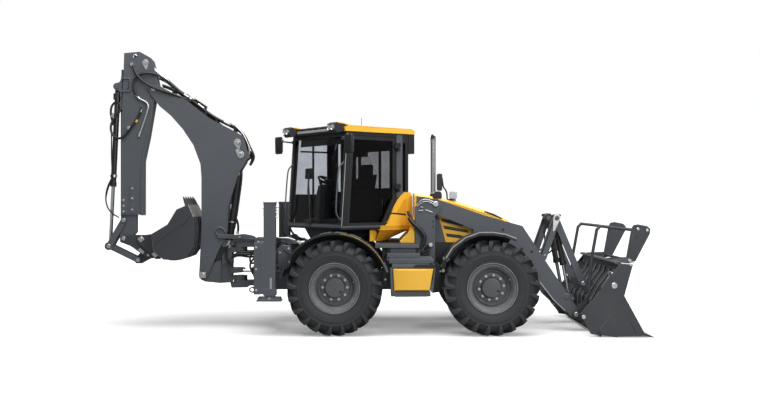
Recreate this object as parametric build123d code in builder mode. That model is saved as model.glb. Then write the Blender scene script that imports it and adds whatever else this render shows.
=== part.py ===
"""Backhoe loader with a slewing cab, four equal wheels and a side-shift backhoe, in millimetres.

X points to the loader bucket, Y to the machine's left side, Z up; the origin is on the ground,
in the middle of the machine's length and width.
"""
from math import cos, hypot, radians, sin
import os

from build123d import *

os.makedirs("parts", exist_ok=True)

# ---------------------------------------------------------------- driving dimensions
PIN_FIT = 0.05          # radial clearance of a pin in its bore
SEAT = 0.3              # gap that is left between seated pieces

TYRE_R = 710.0          # wheels: to the lugs' tips
TYRE_W = 460.0
CARCASS_R = 672.0
RIM_R = 345.0
FLANGE_R = RIM_R + 17.0
RIM_HALF = 200.0
DISC_IN = 170.0         # wheel disc, inboard of the outer flange
HUB_R = 143.0
SPINDLE_R = 50.0
WHEEL_Z = TYRE_R
TRACK_HALF = 945.0
KINGPIN_Y = TRACK_HALF - 115.0
REAR_AXLE_X = -500.0
FRONT_AXLE_X = 1825.0
LUGS = 21
LUG_W = 48.0

FRAME_Z = (620.0, 900.0)      # frame rails, underside and top
FRAME_Y = (290.0, 380.0)
FRAME_X = (-1500.0, 2190.0)
EYE_R = 25.0                  # tie-down eyes
EYE_Z = (690.0, 720.0)
FRONT_EYE_Y = 260.0
REAR_EYE_Z = 686.0

SLEW_X = -450.0
SLEW_R = 470.0
SKIRT_R = 698.0
SLEW_Z = 1372.0
PINTLE_R = 150.0
CAB_TURN = 217.0              # heading of the cab's front, from +X
CAB_FLOOR = 1590.0
CAB_TOP = 3085.0
CAB_FRONT = 520.0
CAB_BACK = -760.0
CAB_HALF = 760.0
CAB_WALL = 50.0
DOOR_BACK = -512.0
GLASS = 6.0
TAIL_BACK = -825.0
TAIL_FOLD = 1548.0
TAIL_TOP = 2130.0
TAIL_SKIN = 24.0          # the tail panel stands this far outside the cab's wall
TAIL_EDGE = [(-676.0, TAIL_TOP), (-618.0, 2088.0), (-545.0, 2015.0), (-470.0, 1905.0), (-395.0, 1760.0),
             (-338.0, 1640.0), (-262.0, CAB_FLOOR - 5), (-175.0, TAIL_FOLD)]

ARM_Y = (440.0, 530.0)        # loader arm, inner and outer face
ARM_PIN = (1024.0, 1947.0)
BUCKET_PIN = (3178.0, 256.0)
CRANK_PIN = (2690.0, 1125.0)
CRANK_TOP = (2898.0, 1721.0)
LINK_FOOT = (3318.0, 713.0)
TILT_FOOT = (3130.0, 492.0)
LIFT_BASE = (900.0, 800.0)
LIFT_LUG = (1700.0, 1440.0)
CLAM_PIN = (3597.0, 757.0)
CLAM_EAR = (3575.0, 924.0)
CLAM_BASE = (3300.0, 470.0)
FORK_PIN = (3930.0, 1095.0)
BUCKET_HALF = 1220.0
BACK_HALF = BUCKET_HALF - 30.0      # fixed back wall, inside the clam's cheeks
CLAM_RAM_Y = BUCKET_HALF - 110.0
TILT_RAM_Y = 272.0
FORK_SHAFT_R = 22.0
ARM_PIN_R = 35.0

SWING_X = -2050.0             # backhoe
SWING_R = 50.0
LOW_EARS = (655.0, 735.0)     # the carriage's ears, lower and upper pair
HIGH_EARS = (1265.0, 1345.0)
LOW_EYE = (LOW_EARS[1] + SEAT, 812.0)       # the swing post's two eyes
HIGH_EYE = (1180.0, HIGH_EARS[0] - SEAT)
BOOM_FOOT = (-2627.0, 823.0)
BOOM_TIP = (-3418.0, 3762.0)
BOOM_RAM_FOOT = (-2232.0, 1281.0)
BOOM_RAM_TOP = (-2037.0, 2735.0)
DIP_RAM_FOOT = (-2072.0, 2904.0)
DIP_RAM_TOP = (-3541.0, 4182.0)
BUCKET_RAM_TOP = (-4004.0, 3809.0)
ROCKER_PIN = (-3889.0, 1687.0)
ROCKER_END = (-4126.0, 1278.0)
HOE_PIN = (-3891.0, 1398.0)
LINK_END = (-3671.0, 1055.0)
HOOK_PIN_A = (-3603.0, 1390.0)
HOOK_PIN_B = (-3377.0, 1150.0)
BOOM_Y = (95.0, 122.0)
STICK_HALF = 88.0
SLIDE_HALF = 62.0
HOE_PIN_R = 32.0
HOE_HALF = 400.0

LEG_X = (-1544.0, -1375.0)
LEG_Y = 1030.0
LEG_TUBE = 169.0
LEG_WALL = 11.0
RAIL_X = (-1676.0, -1546.0)


# ---------------------------------------------------------------- helpers
def slab(points, y_low, y_high, mode=Mode.ADD):
    """Extrude an outline of (x, z) corners from y_low to y_high."""
    with BuildSketch(Plane.XZ.offset(-y_high)) as outline:
        with BuildLine():
            Polyline(*points, close=True)
        make_face()
    extrude(outline.sketch, amount=y_high - y_low, mode=mode)


def pair(points, y_in, y_out, mode=Mode.ADD):
    """The same slab on the left and on the right side."""
    slab(points, y_in, y_out, mode)
    slab(points, -y_out, -y_in, mode)


def pin(at, radius, y_low, y_high, mode=Mode.ADD):
    """A round bar or bore across the machine at (x, z)."""
    with BuildSketch(Plane.XZ.offset(-y_high)) as outline:
        with Locations(at):
            Circle(radius)
    extrude(outline.sketch, amount=y_high - y_low, mode=mode)


def pin_pair(at, radius, y_in, y_out, mode=Mode.ADD):
    pin(at, radius, y_in, y_out, mode)
    pin(at, radius, -y_out, -y_in, mode)


def block(x, y, z, mode=Mode.ADD):
    """A box between two stations on each axis."""
    with Locations(((x[0] + x[1]) / 2, (y[0] + y[1]) / 2, (z[0] + z[1]) / 2)):
        Box(x[1] - x[0], y[1] - y[0], z[1] - z[0], mode=mode)


def post(x, y, radius, z_low, z_high, mode=Mode.ADD):
    with Locations((x, y, (z_low + z_high) / 2)):
        Cylinder(radius, z_high - z_low, mode=mode)


def rod(start, end, radius, mode=Mode.ADD):
    """A round bar between two points in space."""
    run = Vector(*end) - Vector(*start)
    with BuildSketch(Plane(origin=start, z_dir=run)) as section:
        Circle(radius)
    extrude(section.sketch, amount=run.length, mode=mode)


def bar_between(a, b, half, y_low, y_high, mode=Mode.ADD):
    """A flat link with round ends between two pins."""
    length = hypot(b[0] - a[0], b[1] - a[1])
    nx, nz = (b[1] - a[1]) / length * half, -(b[0] - a[0]) / length * half
    corners = [(a[0] + nx, a[1] + nz), (b[0] + nx, b[1] + nz), (b[0] - nx, b[1] - nz),
               (a[0] - nx, a[1] - nz)]
    slab(corners, y_low, y_high, mode)
    pin(a, half, y_low, y_high, mode)
    pin(b, half, y_low, y_high, mode)


def arc_band(centre, r_in, r_out, a_from, a_to, y_low, y_high, mode=Mode.ADD):
    """A curved guard between two radii and two angles (degrees above +X)."""
    with BuildSketch(Plane.XZ.offset(-y_high)) as band:
        with BuildLine():
            outer = CenterArc(centre, r_out, a_from, a_to - a_from)
            inner = CenterArc(centre, r_in, a_from, a_to - a_from)
            Line(outer @ 0, inner @ 0)
            Line(outer @ 1, inner @ 1)
        make_face()
    extrude(band.sketch, amount=y_high - y_low, mode=mode)


def along(a, b, share=0.0, distance=0.0):
    """The point on the line a-b at a share of its length plus a distance."""
    length = hypot(b[0] - a[0], b[1] - a[1])
    t = share + distance / length
    return (a[0] + (b[0] - a[0]) * t, a[1] + (b[1] - a[1]) * t)


def save(builder, label):
    builder.part.label = label
    export_step(builder.part, f"parts/{label}.step")


def ram(label, foot, eye, barrel_r, rod_r, pin_r, halves, barrel_length, ys, held=120.0):
    """A hydraulic ram as two nodes; its barrel turns on the pin at foot, its rod's eye ends at eye.

    At rest the rod is held over this length of the barrel.
    """
    closed = barrel_r * 0.55
    with BuildPart() as barrel:
        for y in ys:
            pin(foot, pin_r + 24, y - halves[0], y + halves[0])
            start = along(foot, eye, distance=pin_r)
            end = along(foot, eye, distance=barrel_length)
            rod((start[0], y, start[1]), (end[0], y, end[1]), barrel_r)
            gland = along(foot, eye, distance=barrel_length - 70)
            rod((gland[0], y, gland[1]), (end[0], y, end[1]), barrel_r + 7)
            deep = along(foot, eye, distance=pin_r + closed)
            rod((deep[0], y, deep[1]), (end[0], y, end[1]), rod_r + SEAT, Mode.SUBTRACT)
            pin(foot, pin_r + PIN_FIT, y - halves[0] - 1, y + halves[0] + 1, Mode.SUBTRACT)
    save(barrel, f"{label}_barrel")
    with BuildPart() as piston_rod:
        for y in ys:
            pin(eye, pin_r + 22, y - halves[1], y + halves[1])
            start = along(foot, eye, distance=barrel_length - held)
            rod((start[0], y, start[1]), (eye[0], y, eye[1]), rod_r)
    save(piston_rod, f"{label}_rod")


# ---------------------------------------------------------------- wheels
def lug_outline(side):
    """One lug bar on the tread, as (around, across) corners; side is +1 or -1."""
    return [(-78.0, side * 10.0), (-78.0 + LUG_W * 1.3, side * 10.0), (88.0, side * 214.0),
            (88.0 - LUG_W, side * 214.0)]


with BuildPart() as tyre:
    half = TYRE_W / 2
    bead = RIM_HALF - 14.0
    shoulder = [(RIM_R + SEAT, bead), (FLANGE_R + 2, bead), (FLANGE_R + 2, half - 26),
                (FLANGE_R + 40, half - 14), (FLANGE_R + 130, half), (CARCASS_R - 84, half - 14),
                (CARCASS_R - 12, half - 60), (CARCASS_R, half - 140)]
    with BuildSketch(Plane.XZ) as section:
        with BuildLine():
            Polyline(*shoulder, *[(r, -w) for r, w in reversed(shoulder)], close=True)
        make_face()
    revolve(section.sketch, axis=Axis.Z)
    for side, turn in ((1, 0.0), (-1, 180.0 / LUGS)):
        with BuildPart(mode=Mode.PRIVATE) as lug:
            with BuildSketch(Plane(origin=(CARCASS_R - 112, 0, 0), x_dir=(0, 1, 0),
                                   z_dir=(1, 0, 0))) as bar:
                with BuildLine():
                    Polyline(*lug_outline(side), close=True)
                make_face()
            top = (TYRE_R**2 - 88.0**2) ** 0.5
            extrude(bar.sketch, amount=top - CARCASS_R + 112)
        with PolarLocations(0, LUGS, start_angle=turn):
            add(lug.part)

with BuildPart() as rim:
    with BuildSketch(Plane.XZ) as section:
        with BuildLine():
            Polyline((RIM_R, -RIM_HALF + 13.7), (FLANGE_R, -RIM_HALF + 13.7), (FLANGE_R, -RIM_HALF),
                     (RIM_R - 14, -RIM_HALF), (RIM_R - 14, RIM_HALF - DISC_IN - 9),
                     (240, RIM_HALF - DISC_IN - 9), (225, RIM_HALF - DISC_IN - 24),
                     (SPINDLE_R + PIN_FIT, RIM_HALF - DISC_IN - 24),
                     (SPINDLE_R + PIN_FIT, RIM_HALF - DISC_IN + 30), (0, RIM_HALF - DISC_IN + 30),
                     (0, RIM_HALF - DISC_IN + 66), (92, RIM_HALF - DISC_IN + 66),
                     (HUB_R - 18, RIM_HALF - DISC_IN + 48), (HUB_R, RIM_HALF - DISC_IN + 22),
                     (HUB_R, RIM_HALF - DISC_IN - 6), (218, RIM_HALF - DISC_IN - 6),
                     (236, RIM_HALF - DISC_IN + 9), (RIM_R - 14, RIM_HALF - DISC_IN + 9),
                     (RIM_R - 14, RIM_HALF), (FLANGE_R, RIM_HALF), (FLANGE_R, RIM_HALF - 13.7),
                     (RIM_R, RIM_HALF - 13.7), close=True)
        make_face()
    revolve(section.sketch, axis=Axis.Z)
    with PolarLocations(180, 10):
        with Locations((0, 0, RIM_HALF - DISC_IN - 6 + 9)):
            Cylinder(15, 18)

WHEELS = (("front_right", FRONT_AXLE_X, -1), ("front_left", FRONT_AXLE_X, 1),
          ("rear_right", REAR_AXLE_X, -1), ("rear_left", REAR_AXLE_X, 1))
for name, x, side in WHEELS:
    place = Location((x, side * TRACK_HALF, WHEEL_Z), (-90 * side, 0, 0))
    for kind, source in (("tyre", tyre), ("rim", rim)):
        with BuildPart() as wheel_piece:
            with Locations(place):
                add(source.part)
        save(wheel_piece, f"{kind}_{name}")

# ---------------------------------------------------------------- axles, knuckles and fenders
HUB_FACE = TRACK_HALF + RIM_HALF - DISC_IN - 24
SPINDLE_END = TRACK_HALF + RIM_HALF - DISC_IN + 28
YOKE_Z = 150.0
BEAM_R = 88.0
KING_R = 30.0
with BuildPart() as axles:
    for x in (FRONT_AXLE_X, REAR_AXLE_X):
        rod((x, -KINGPIN_Y + 90, WHEEL_Z), (x, KINGPIN_Y - 90, WHEEL_Z), BEAM_R)
        with Locations((x, 0, WHEEL_Z)):
            Sphere(165)
        with Locations((x, 0, WHEEL_Z)):
            Box(190, 2 * KINGPIN_Y - 190, 120)
    for side in (1, -1):
        y = side * KINGPIN_Y
        inner = sorted((y - side * 95, y + side * 45))
        for z in ((WHEEL_Z - YOKE_Z - 36, WHEEL_Z - YOKE_Z), (WHEEL_Z + YOKE_Z, WHEEL_Z + YOKE_Z + 36)):
            block((FRONT_AXLE_X - 60, FRONT_AXLE_X + 60), inner, z)
        post(FRONT_AXLE_X, y, KING_R, WHEEL_Z - YOKE_Z - 20, WHEEL_Z + YOKE_Z + 20)
        block((FRONT_AXLE_X - 60, FRONT_AXLE_X + 60), sorted((y - side * 95, y - side * 70)),
              (WHEEL_Z - YOKE_Z - 36, WHEEL_Z + YOKE_Z + 36))
        rod((REAR_AXLE_X, side * (KINGPIN_Y - 110), WHEEL_Z), (REAR_AXLE_X, side * (HUB_FACE - SEAT),
                                                               WHEEL_Z), 120)
        rod((REAR_AXLE_X, side * (HUB_FACE - 20), WHEEL_Z), (REAR_AXLE_X, side * SPINDLE_END, WHEEL_Z),
            SPINDLE_R)
save(axles, "axles")

ARM_X = 186.0
GUARD_R = 803.0
GUARD_Y = (TRACK_HALF - 183, TRACK_HALF + 223)
for name, side in (("right", -1), ("left", 1)):
    y = side * KINGPIN_Y
    with BuildPart() as knuckle:
        post(FRONT_AXLE_X, y, 62, WHEEL_Z - YOKE_Z + SEAT, WHEEL_Z + YOKE_Z - SEAT)
        rod((FRONT_AXLE_X, y, WHEEL_Z), (FRONT_AXLE_X, side * (HUB_FACE - SEAT), WHEEL_Z), 100)
        rod((FRONT_AXLE_X, y, WHEEL_Z), (FRONT_AXLE_X, side * SPINDLE_END, WHEEL_Z), SPINDLE_R)
        post(FRONT_AXLE_X, y, KING_R + PIN_FIT, WHEEL_Z - YOKE_Z, WHEEL_Z + YOKE_Z, Mode.SUBTRACT)
        arm_y = side * (KINGPIN_Y - 138)
        block((FRONT_AXLE_X - ARM_X - 14, FRONT_AXLE_X - 50), sorted((y - side * 20, y + side * 24)),
              (WHEEL_Z - 40, WHEEL_Z + 40))
        rod((FRONT_AXLE_X - ARM_X, y, WHEEL_Z), (FRONT_AXLE_X - ARM_X, arm_y, WHEEL_Z), 24)
        hang = (FRONT_AXLE_X + GUARD_R * cos(radians(128)), WHEEL_Z + GUARD_R * sin(radians(128)))
        rod((FRONT_AXLE_X - ARM_X, arm_y, WHEEL_Z), (hang[0], arm_y, hang[1]), 22)
        rod((hang[0], arm_y, hang[1]), (hang[0], side * (GUARD_Y[0] + 30), hang[1]), 20)
        arc_band((FRONT_AXLE_X, WHEEL_Z), GUARD_R - 4, GUARD_R + 8, 63, 148,
                 *sorted((side * GUARD_Y[0], side * GUARD_Y[1])))
    save(knuckle, f"knuckle_{name}")

FENDER_R = 803.0
FENDER_Y = (TRACK_HALF - 200, TRACK_HALF + 223)
with BuildPart() as fenders:
    for side in (1, -1):
        arc_band((REAR_AXLE_X, WHEEL_Z), FENDER_R, FENDER_R + 14, 19, 169,
                 *sorted((side * FENDER_Y[0], side * FENDER_Y[1])))
        arc_band((REAR_AXLE_X, WHEEL_Z), FENDER_R - 30, FENDER_R, 19, 169,
                 *sorted((side * FENDER_Y[0], side * (FENDER_Y[0] + 8))))
        for x in (-1080.0, 60.0):
            z = WHEEL_Z + ((FENDER_R + 5) ** 2 - (x - REAR_AXLE_X) ** 2) ** 0.5
            block((x - 30, x + 30), sorted((side * (FRAME_Y[1] + SEAT), side * 706)), (z - 150, z - 120))
            block((x - 30, x + 30), sorted((side * 690, side * 706)), (z - 150, z))
            block((x - 30, x + 30), sorted((side * 690, side * (FENDER_Y[0] + 20))), (z - 14, z))
            block((x - 30, x + 30), sorted((side * (FRAME_Y[1] + SEAT), side * (FRAME_Y[1] + 12))),
                  (FRAME_Z[0] + 60, z - 120))
save(fenders, "rear_fenders")

# ---------------------------------------------------------------- main frame
with BuildPart() as frame:
    for side in (1, -1):
        rail = sorted((side * FRAME_Y[0], side * FRAME_Y[1]))
        block(FRAME_X, rail, FRAME_Z)
    for x in (FRAME_X[0], -960.0, 60.0, 700.0, 1300.0, FRAME_X[1] - 60):
        block((x, x + 60), (-FRAME_Y[0], FRAME_Y[0]), (FRAME_Z[0] + 20, FRAME_Z[1] - 20))
    for x in (FRONT_AXLE_X, REAR_AXLE_X):
        block((x - 175, x + 175), (-FRAME_Y[1], FRAME_Y[1]), (FRAME_Z[0] - 10, FRAME_Z[1] + 10),
              Mode.SUBTRACT)
        for side in (1, -1):
            block((x - 190, x + 190), sorted((side * FRAME_Y[0], side * FRAME_Y[1])),
                  (WHEEL_Z + BEAM_R + SEAT, FRAME_Z[1]))
    block((SLEW_X - 330, SLEW_X + 330), (-FRAME_Y[1], FRAME_Y[1]), (FRAME_Z[1] - 5, FRAME_Z[1] + 40))
    with BuildSketch(Plane.XY.offset(FRAME_Z[1] + 40)) as foot:
        with Locations((SLEW_X, 0)):
            RectangleRounded(660, 640, 60)
    with BuildSketch(Plane.XY.offset(SLEW_Z - 70)) as neck:
        with Locations((SLEW_X, 0)):
            RectangleRounded(560, 560, 270)
    loft([foot.sketch.face(), neck.sketch.face()])
    post(SLEW_X, 0, SLEW_R, SLEW_Z - 70, SLEW_Z - SEAT)
    post(SLEW_X, 0, PINTLE_R, SLEW_Z - 10, SLEW_Z + 110)
    # rear seat of the backhoe frame
    block((RAIL_X[1], FRAME_X[0] + 20), (-FRAME_Y[1], FRAME_Y[1]), (FRAME_Z[0], FRAME_Z[1] + 60))
    # front tie-down plates, with upright holes
    for side in (1, -1):
        y = side * FRONT_EYE_Y
        block((FRAME_X[1] - 5, FRAME_X[1] + 92), sorted((y - 46, y + 46)), EYE_Z)
        post(FRAME_X[1] + 48, y, EYE_R, EYE_Z[0] - 5, EYE_Z[1] + 5, Mode.SUBTRACT)
save(frame, "main_frame")

# ---------------------------------------------------------------- bonnet, tower, tanks
BONNET_HALF = 398.0
BONNET_EDGE = 34.0
BONNET_SIDE = [(705, 905), (705, 2110), (1120, 2040), (1400, 1974), (1852, 1827), (2132, 1707),
               (2215, 1640), (2282, 1490), (2290, 905)]
EXHAUST_AT = (1000.0, -300.0)
EXHAUST_R = 38.0
EXHAUST_FOOT = 1985.0
with BuildPart() as bonnet:
    slab(BONNET_SIDE, -BONNET_HALF, BONNET_HALF)
    corners = bonnet.edges().filter_by(lambda e: abs(e.center().Y) > BONNET_HALF - 1)
    chamfer(corners.filter_by(lambda e: e.center().Z > 1500 and e.center().X > 710), BONNET_EDGE)
    post(*EXHAUST_AT, EXHAUST_R + 6, EXHAUST_FOOT, 2200, Mode.SUBTRACT)
save(bonnet, "bonnet")

TOWER_IN = (BONNET_HALF + SEAT, 432.0)
TOWER_OUT = (538.0, 568.0)
with BuildPart() as tower:
    outline = [(708, 640), (960, 640), (1012, 1130), (1012, 1760), (1100, 1900), (1100, 1990), (1050, 2030),
               (900, 2030), (708, 1900)]
    for y in (TOWER_IN, TOWER_OUT):
        pair(outline, *y)
    pair([(708, 1130), (740, 1130), (740, 1880), (708, 1880)], TOWER_IN[1], TOWER_OUT[0])
    pair([(708, 640), (740, 640), (740, 760), (708, 760)], FRAME_Y[1], TOWER_OUT[0])
    pair([(740, 640), (940, 640), (940, 670), (740, 670)], FRAME_Y[1], TOWER_OUT[0])
    pin_pair(ARM_PIN, ARM_PIN_R, TOWER_IN[0], TOWER_OUT[1] + 20)
    pin_pair(LIFT_BASE, ARM_PIN_R, TOWER_IN[0], TOWER_OUT[1] + 20)
save(tower, "loader_tower")

with BuildPart() as tanks:
    for side in (1, -1):
        for x, y, z in (((304, 944), (TOWER_OUT[1] + 32, 1010), (1067, 1154)),
                        ((274, 764), (600, 1010), (1154, 1222)), ((100, 744), (600, 1000), (1297, 1356)),
                        ((330, 700), (600, 960), (1222, 1297)), ((350, 900), (600, 1040), (640, 1067)),
                        ((373, 930), (1036, 1058), (669, 993)), ((330, 920), (620, 1050), (580, 640))):
            block(x, sorted((side * y[0], side * y[1])), z)
        block((370, 700), sorted((side * (FRAME_Y[1] + SEAT), side * 620)), (660, 860))
save(tanks, "side_tanks")

LAMP_AT = (1310.0, -340.0)
MIRROR_AT = (1105.0, -360.0)
with BuildPart() as fittings:
    post(*LAMP_AT, 14, 1950, 2040)
    block((LAMP_AT[0] - 58, LAMP_AT[0] + 58), (LAMP_AT[1] - 62, LAMP_AT[1] + 62), (2024, 2148))
    stem = [(1215, LAMP_AT[1], 1950), (1215, LAMP_AT[1], 2110), (MIRROR_AT[0] + 40, LAMP_AT[1], 2190),
            (MIRROR_AT[0] + 20, LAMP_AT[1], 2400)]
    for start, end in zip(stem, stem[1:]):
        rod(start, end, 13)
        with Locations(end):
            Sphere(13)
    block((MIRROR_AT[0] - 40, MIRROR_AT[0] + 8), (MIRROR_AT[1] - 64, MIRROR_AT[1] + 76), (2150, 2420))
    block((MIRROR_AT[0] + 4, MIRROR_AT[0] + 36), (LAMP_AT[1] - 16, LAMP_AT[1] + 16), (2270, 2300))
    slab([(x, z + SEAT) for x, z in BONNET_SIDE], -BONNET_HALF, BONNET_HALF, Mode.SUBTRACT)
    post(*EXHAUST_AT, EXHAUST_R, EXHAUST_FOOT + SEAT, 2940)
    rod((EXHAUST_AT[0], EXHAUST_AT[1], 2900), (EXHAUST_AT[0] - 42, EXHAUST_AT[1], 3000), EXHAUST_R)
save(fittings, "bonnet_fittings")

# ---------------------------------------------------------------- rear frame and stabilisers
with BuildPart() as rear_frame:
    for z in ((620, 740), (1250, 1370)):
        block(RAIL_X, (-1114, 1114), z)
    for side in (1, -1):
        y = side * LEG_Y
        half = LEG_TUBE / 2
        block((RAIL_X[1], LEG_X[1]), (y - half, y + half), (600, 1975))
        block((RAIL_X[1] + LEG_WALL, LEG_X[1] - LEG_WALL), (y - half + LEG_WALL, y + half - LEG_WALL),
              (600, 1975), Mode.SUBTRACT)
        block((RAIL_X[0], RAIL_X[1]), sorted((side * 1094, side * 1114)), (740, 1250))
        block((RAIL_X[0] + 20, RAIL_X[1]), sorted((side * 300, side * 380)), (740, 1250))
    for side in (1, -1):
        back = RAIL_X[0]
        slab([(back + 6, 640), (back + 6, 732), (back - 39, 732), (back - 76, 714), (back - 84, 686),
              (back - 76, 658), (back - 39, 640)], *sorted((side * 1084, side * 1114)))
        pin((back - 40, REAR_EYE_Z), EYE_R, *sorted((side * 1080, side * 1120)), Mode.SUBTRACT)
save(rear_frame, "rear_frame")

for name, side in (("right", -1), ("left", 1)):
    y = side * LEG_Y
    with BuildPart() as leg:
        inner = LEG_TUBE / 2 - LEG_WALL - SEAT
        block((RAIL_X[1] + LEG_WALL + SEAT, LEG_X[1] - LEG_WALL - SEAT), (y - inner, y + inner),
              (575, 1900))
        slab([(-1630, 575), (-1640, 548), (-1618, 520), (-1312, 520), (-1290, 548), (-1300, 575)], y - 84,
             y + 84)
    save(leg, f"stabiliser_{name}")

# ---------------------------------------------------------------- backhoe carriage and swing post
with BuildPart() as carriage:
    block((-1800, RAIL_X[0] - SEAT), (-235, 235), (600, 1400))
    for z in ((560, 619.5), (1370.5, 1410)):
        block((-1800, RAIL_X[1] - 60), (-235, 235), z)
    for ears, king in ((LOW_EARS, (LOW_EARS[0], LOW_EYE[1])), (HIGH_EARS, (HIGH_EYE[0], HIGH_EARS[1]))):
        slab([(SWING_X, ears[0]), (-1790, ears[0]), (-1790, ears[1]), (SWING_X, ears[1])], -110, 110)
        post(SWING_X, 0, 110, *ears)
        post(SWING_X, 0, SWING_R, *king)
save(carriage, "carriage")

with BuildPart() as swing_post:
    for eye in (LOW_EYE, HIGH_EYE):
        post(SWING_X, 0, 108, *eye)
        block((-2185, SWING_X), (-60, 60), (eye[0] + 8, eye[1] - 8))
    slab([(-2170, LOW_EYE[0] + 8), (-2170, 1250), (-2300, 1200), (-2560, 920), (-2640, 800), (-2350, 690),
          (-2185, 700)], -60, 60)
    slab([(-2170, 1180), (-2340, 1180), (-2340, 1400), (-2160, 1400)], -60, 60, Mode.SUBTRACT)
    for y in ((-90, -61), (61, 90)):
        slab([(-2170, 1000), (-2170, 1275), (-2180, 1330), (-2265, 1345), (-2310, 1280), (-2330, 1100)], *y)
    arm_z = (HIGH_EYE[0] + 8, HIGH_EYE[1] - 8)
    block((-2150, -2110), (-90, 90), arm_z)
    for y in ((-90, -61), (61, 90)):
        block((-2180, -2110), y, arm_z)
    slab([(-2170, 1000), (-2330, 1000), (-2330, 1160), (-2170, 1160)], -90, 90)
    slab([(-2540, 930), (-2670, 890), (-2690, 820), (-2670, 750), (-2600, 715), (-2350, 690),
          (-2350, 1100)], -88, 88)
    pin(BOOM_FOOT, 70, -88, 88)
    pin(BOOM_FOOT, 42, -136, 136)
    pin(BOOM_RAM_FOOT, HOE_PIN_R, -98, 98)
    for eye in (LOW_EYE, HIGH_EYE):
        post(SWING_X, 0, SWING_R + PIN_FIT, eye[0] - 1, eye[1] + 1, Mode.SUBTRACT)
save(swing_post, "swing_post")

# ---------------------------------------------------------------- boom and stick
BOOM_SIDE = [(-2684, 768), (-2690, 830), (-2652, 1543), (-2652, 2359), (-2668, 2577), (-2780, 2877),
             (-2943, 3122), (-3132, 3338), (-3311, 3488), (-3440, 3660), (-3505, 3762), (-3470, 3830),
             (-3379, 3842), (-2889, 3583), (-2508, 3285), (-2235, 3149), (-1990, 3013), (-1930, 2800),
             (-1882, 2686), (-1950, 2632), (-2072, 2441), (-2235, 1924), (-2249, 1516), (-2326, 1329),
             (-2540, 850), (-2580, 770)]
BOOM_WEB = [(-2635, 1120), (-2640, 2359), (-2655, 2577), (-2765, 2870), (-2930, 3110), (-3120, 3330),
            (-3180, 3390), (-3120, 3600), (-2889, 3490), (-2620, 3250), (-2420, 3010), (-2330, 2800),
            (-2270, 2500), (-2290, 1924), (-2290, 1560), (-2360, 1340), (-2480, 1150)]
with BuildPart() as boom:
    pair(BOOM_SIDE, *BOOM_Y)
    slab(BOOM_WEB, -BOOM_Y[0], BOOM_Y[0])
    pin(BOOM_TIP, 42, -136, 136)
    pin(DIP_RAM_FOOT, HOE_PIN_R, -136, 136)
    pin_pair(DIP_RAM_FOOT, 54, 60, BOOM_Y[1] + 8)
    pin_pair(BOOM_RAM_TOP, 54, 50, BOOM_Y[1] + 8)
    pin(BOOM_FOOT, 42 + PIN_FIT, -140, 140, Mode.SUBTRACT)
save(boom, "boom")

STICK_SIDE = [(-3883, 4335), (-3639, 4358), (-3497, 4280), (-3440, 4218), (-3372, 3960), (-3330, 3762),
              (-3400, 3680), (-3515, 3013), (-3595, 2632), (-3609, 1774), (-3925, 1774), (-3922, 3066)]
with BuildPart() as stick:
    slab(STICK_SIDE, -STICK_HALF, STICK_HALF)
    slab([(-3640, 4420), (-3640, 4130), (-3606, 3985), (-3540, 3955), (-3340, 3925), (-3290, 3900),
          (-3290, 4420)], -46, 46, Mode.SUBTRACT)
    block((-3905, -3699), (-SLIDE_HALF - SEAT, SLIDE_HALF + SEAT), (1700, 3100), Mode.SUBTRACT)
    pin(BOOM_TIP, 42 + PIN_FIT, -100, 100, Mode.SUBTRACT)
save(stick, "stick")

with BuildPart() as slide:
    block((-3905 + SEAT, -3699 - SEAT), (-SLIDE_HALF, SLIDE_HALF), (1500, 2950))
    slab([(-3955, 1640), (-3955, 1350), (-3835, 1350), (-3700, 1500), (-3700, 1640)], -SLIDE_HALF,
         SLIDE_HALF)
    block((-3952, -3926), (-30, 30), (1600, 3700))
    block((-3952, -3926), (-76, 76), (3640, 3700))
    for y in ((-76, -50), (50, 76)):
        slab([(-4050, 3800), (-3926, 3700), (-3926, 3900), (-4000, 3860)], *y)
        pin(BUCKET_RAM_TOP, 56, *y)
        block((-3952, -3926), y, (3680, 3900))
    pin(BUCKET_RAM_TOP, HOE_PIN_R, -84, 84)
    for at in (ROCKER_PIN, HOE_PIN):
        pin(at, 58, -SLIDE_HALF, SLIDE_HALF)
        pin(at, HOE_PIN_R, -106, 106)
save(slide, "stick_slide")

with BuildPart() as rocker:
    for y in ((-94, -70), (70, 94)):
        bar_between(ROCKER_PIN, ROCKER_END, 46, *y)
    mid = along(ROCKER_PIN, ROCKER_END, 0.45)
    pin(mid, 26, -94, 94)
    for y in ((-94, -36), (36, 94)):
        pin(ROCKER_END, HOE_PIN_R, *y)
    pin(ROCKER_END, 64, 94, 100)
    pin(ROCKER_END, 64, -100, -94)
    pin(ROCKER_PIN, HOE_PIN_R + PIN_FIT, -96, 96, Mode.SUBTRACT)
save(rocker, "bucket_rocker")

with BuildPart() as link:
    for y in ((-66, -38), (38, 66)):
        bar_between(ROCKER_END, LINK_END, 44, *y)
    pin(along(ROCKER_END, LINK_END, 0.55), 24, -66, 66)
    pin(ROCKER_END, HOE_PIN_R + PIN_FIT, -70, 70, Mode.SUBTRACT)
save(link, "bucket_link")

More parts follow.
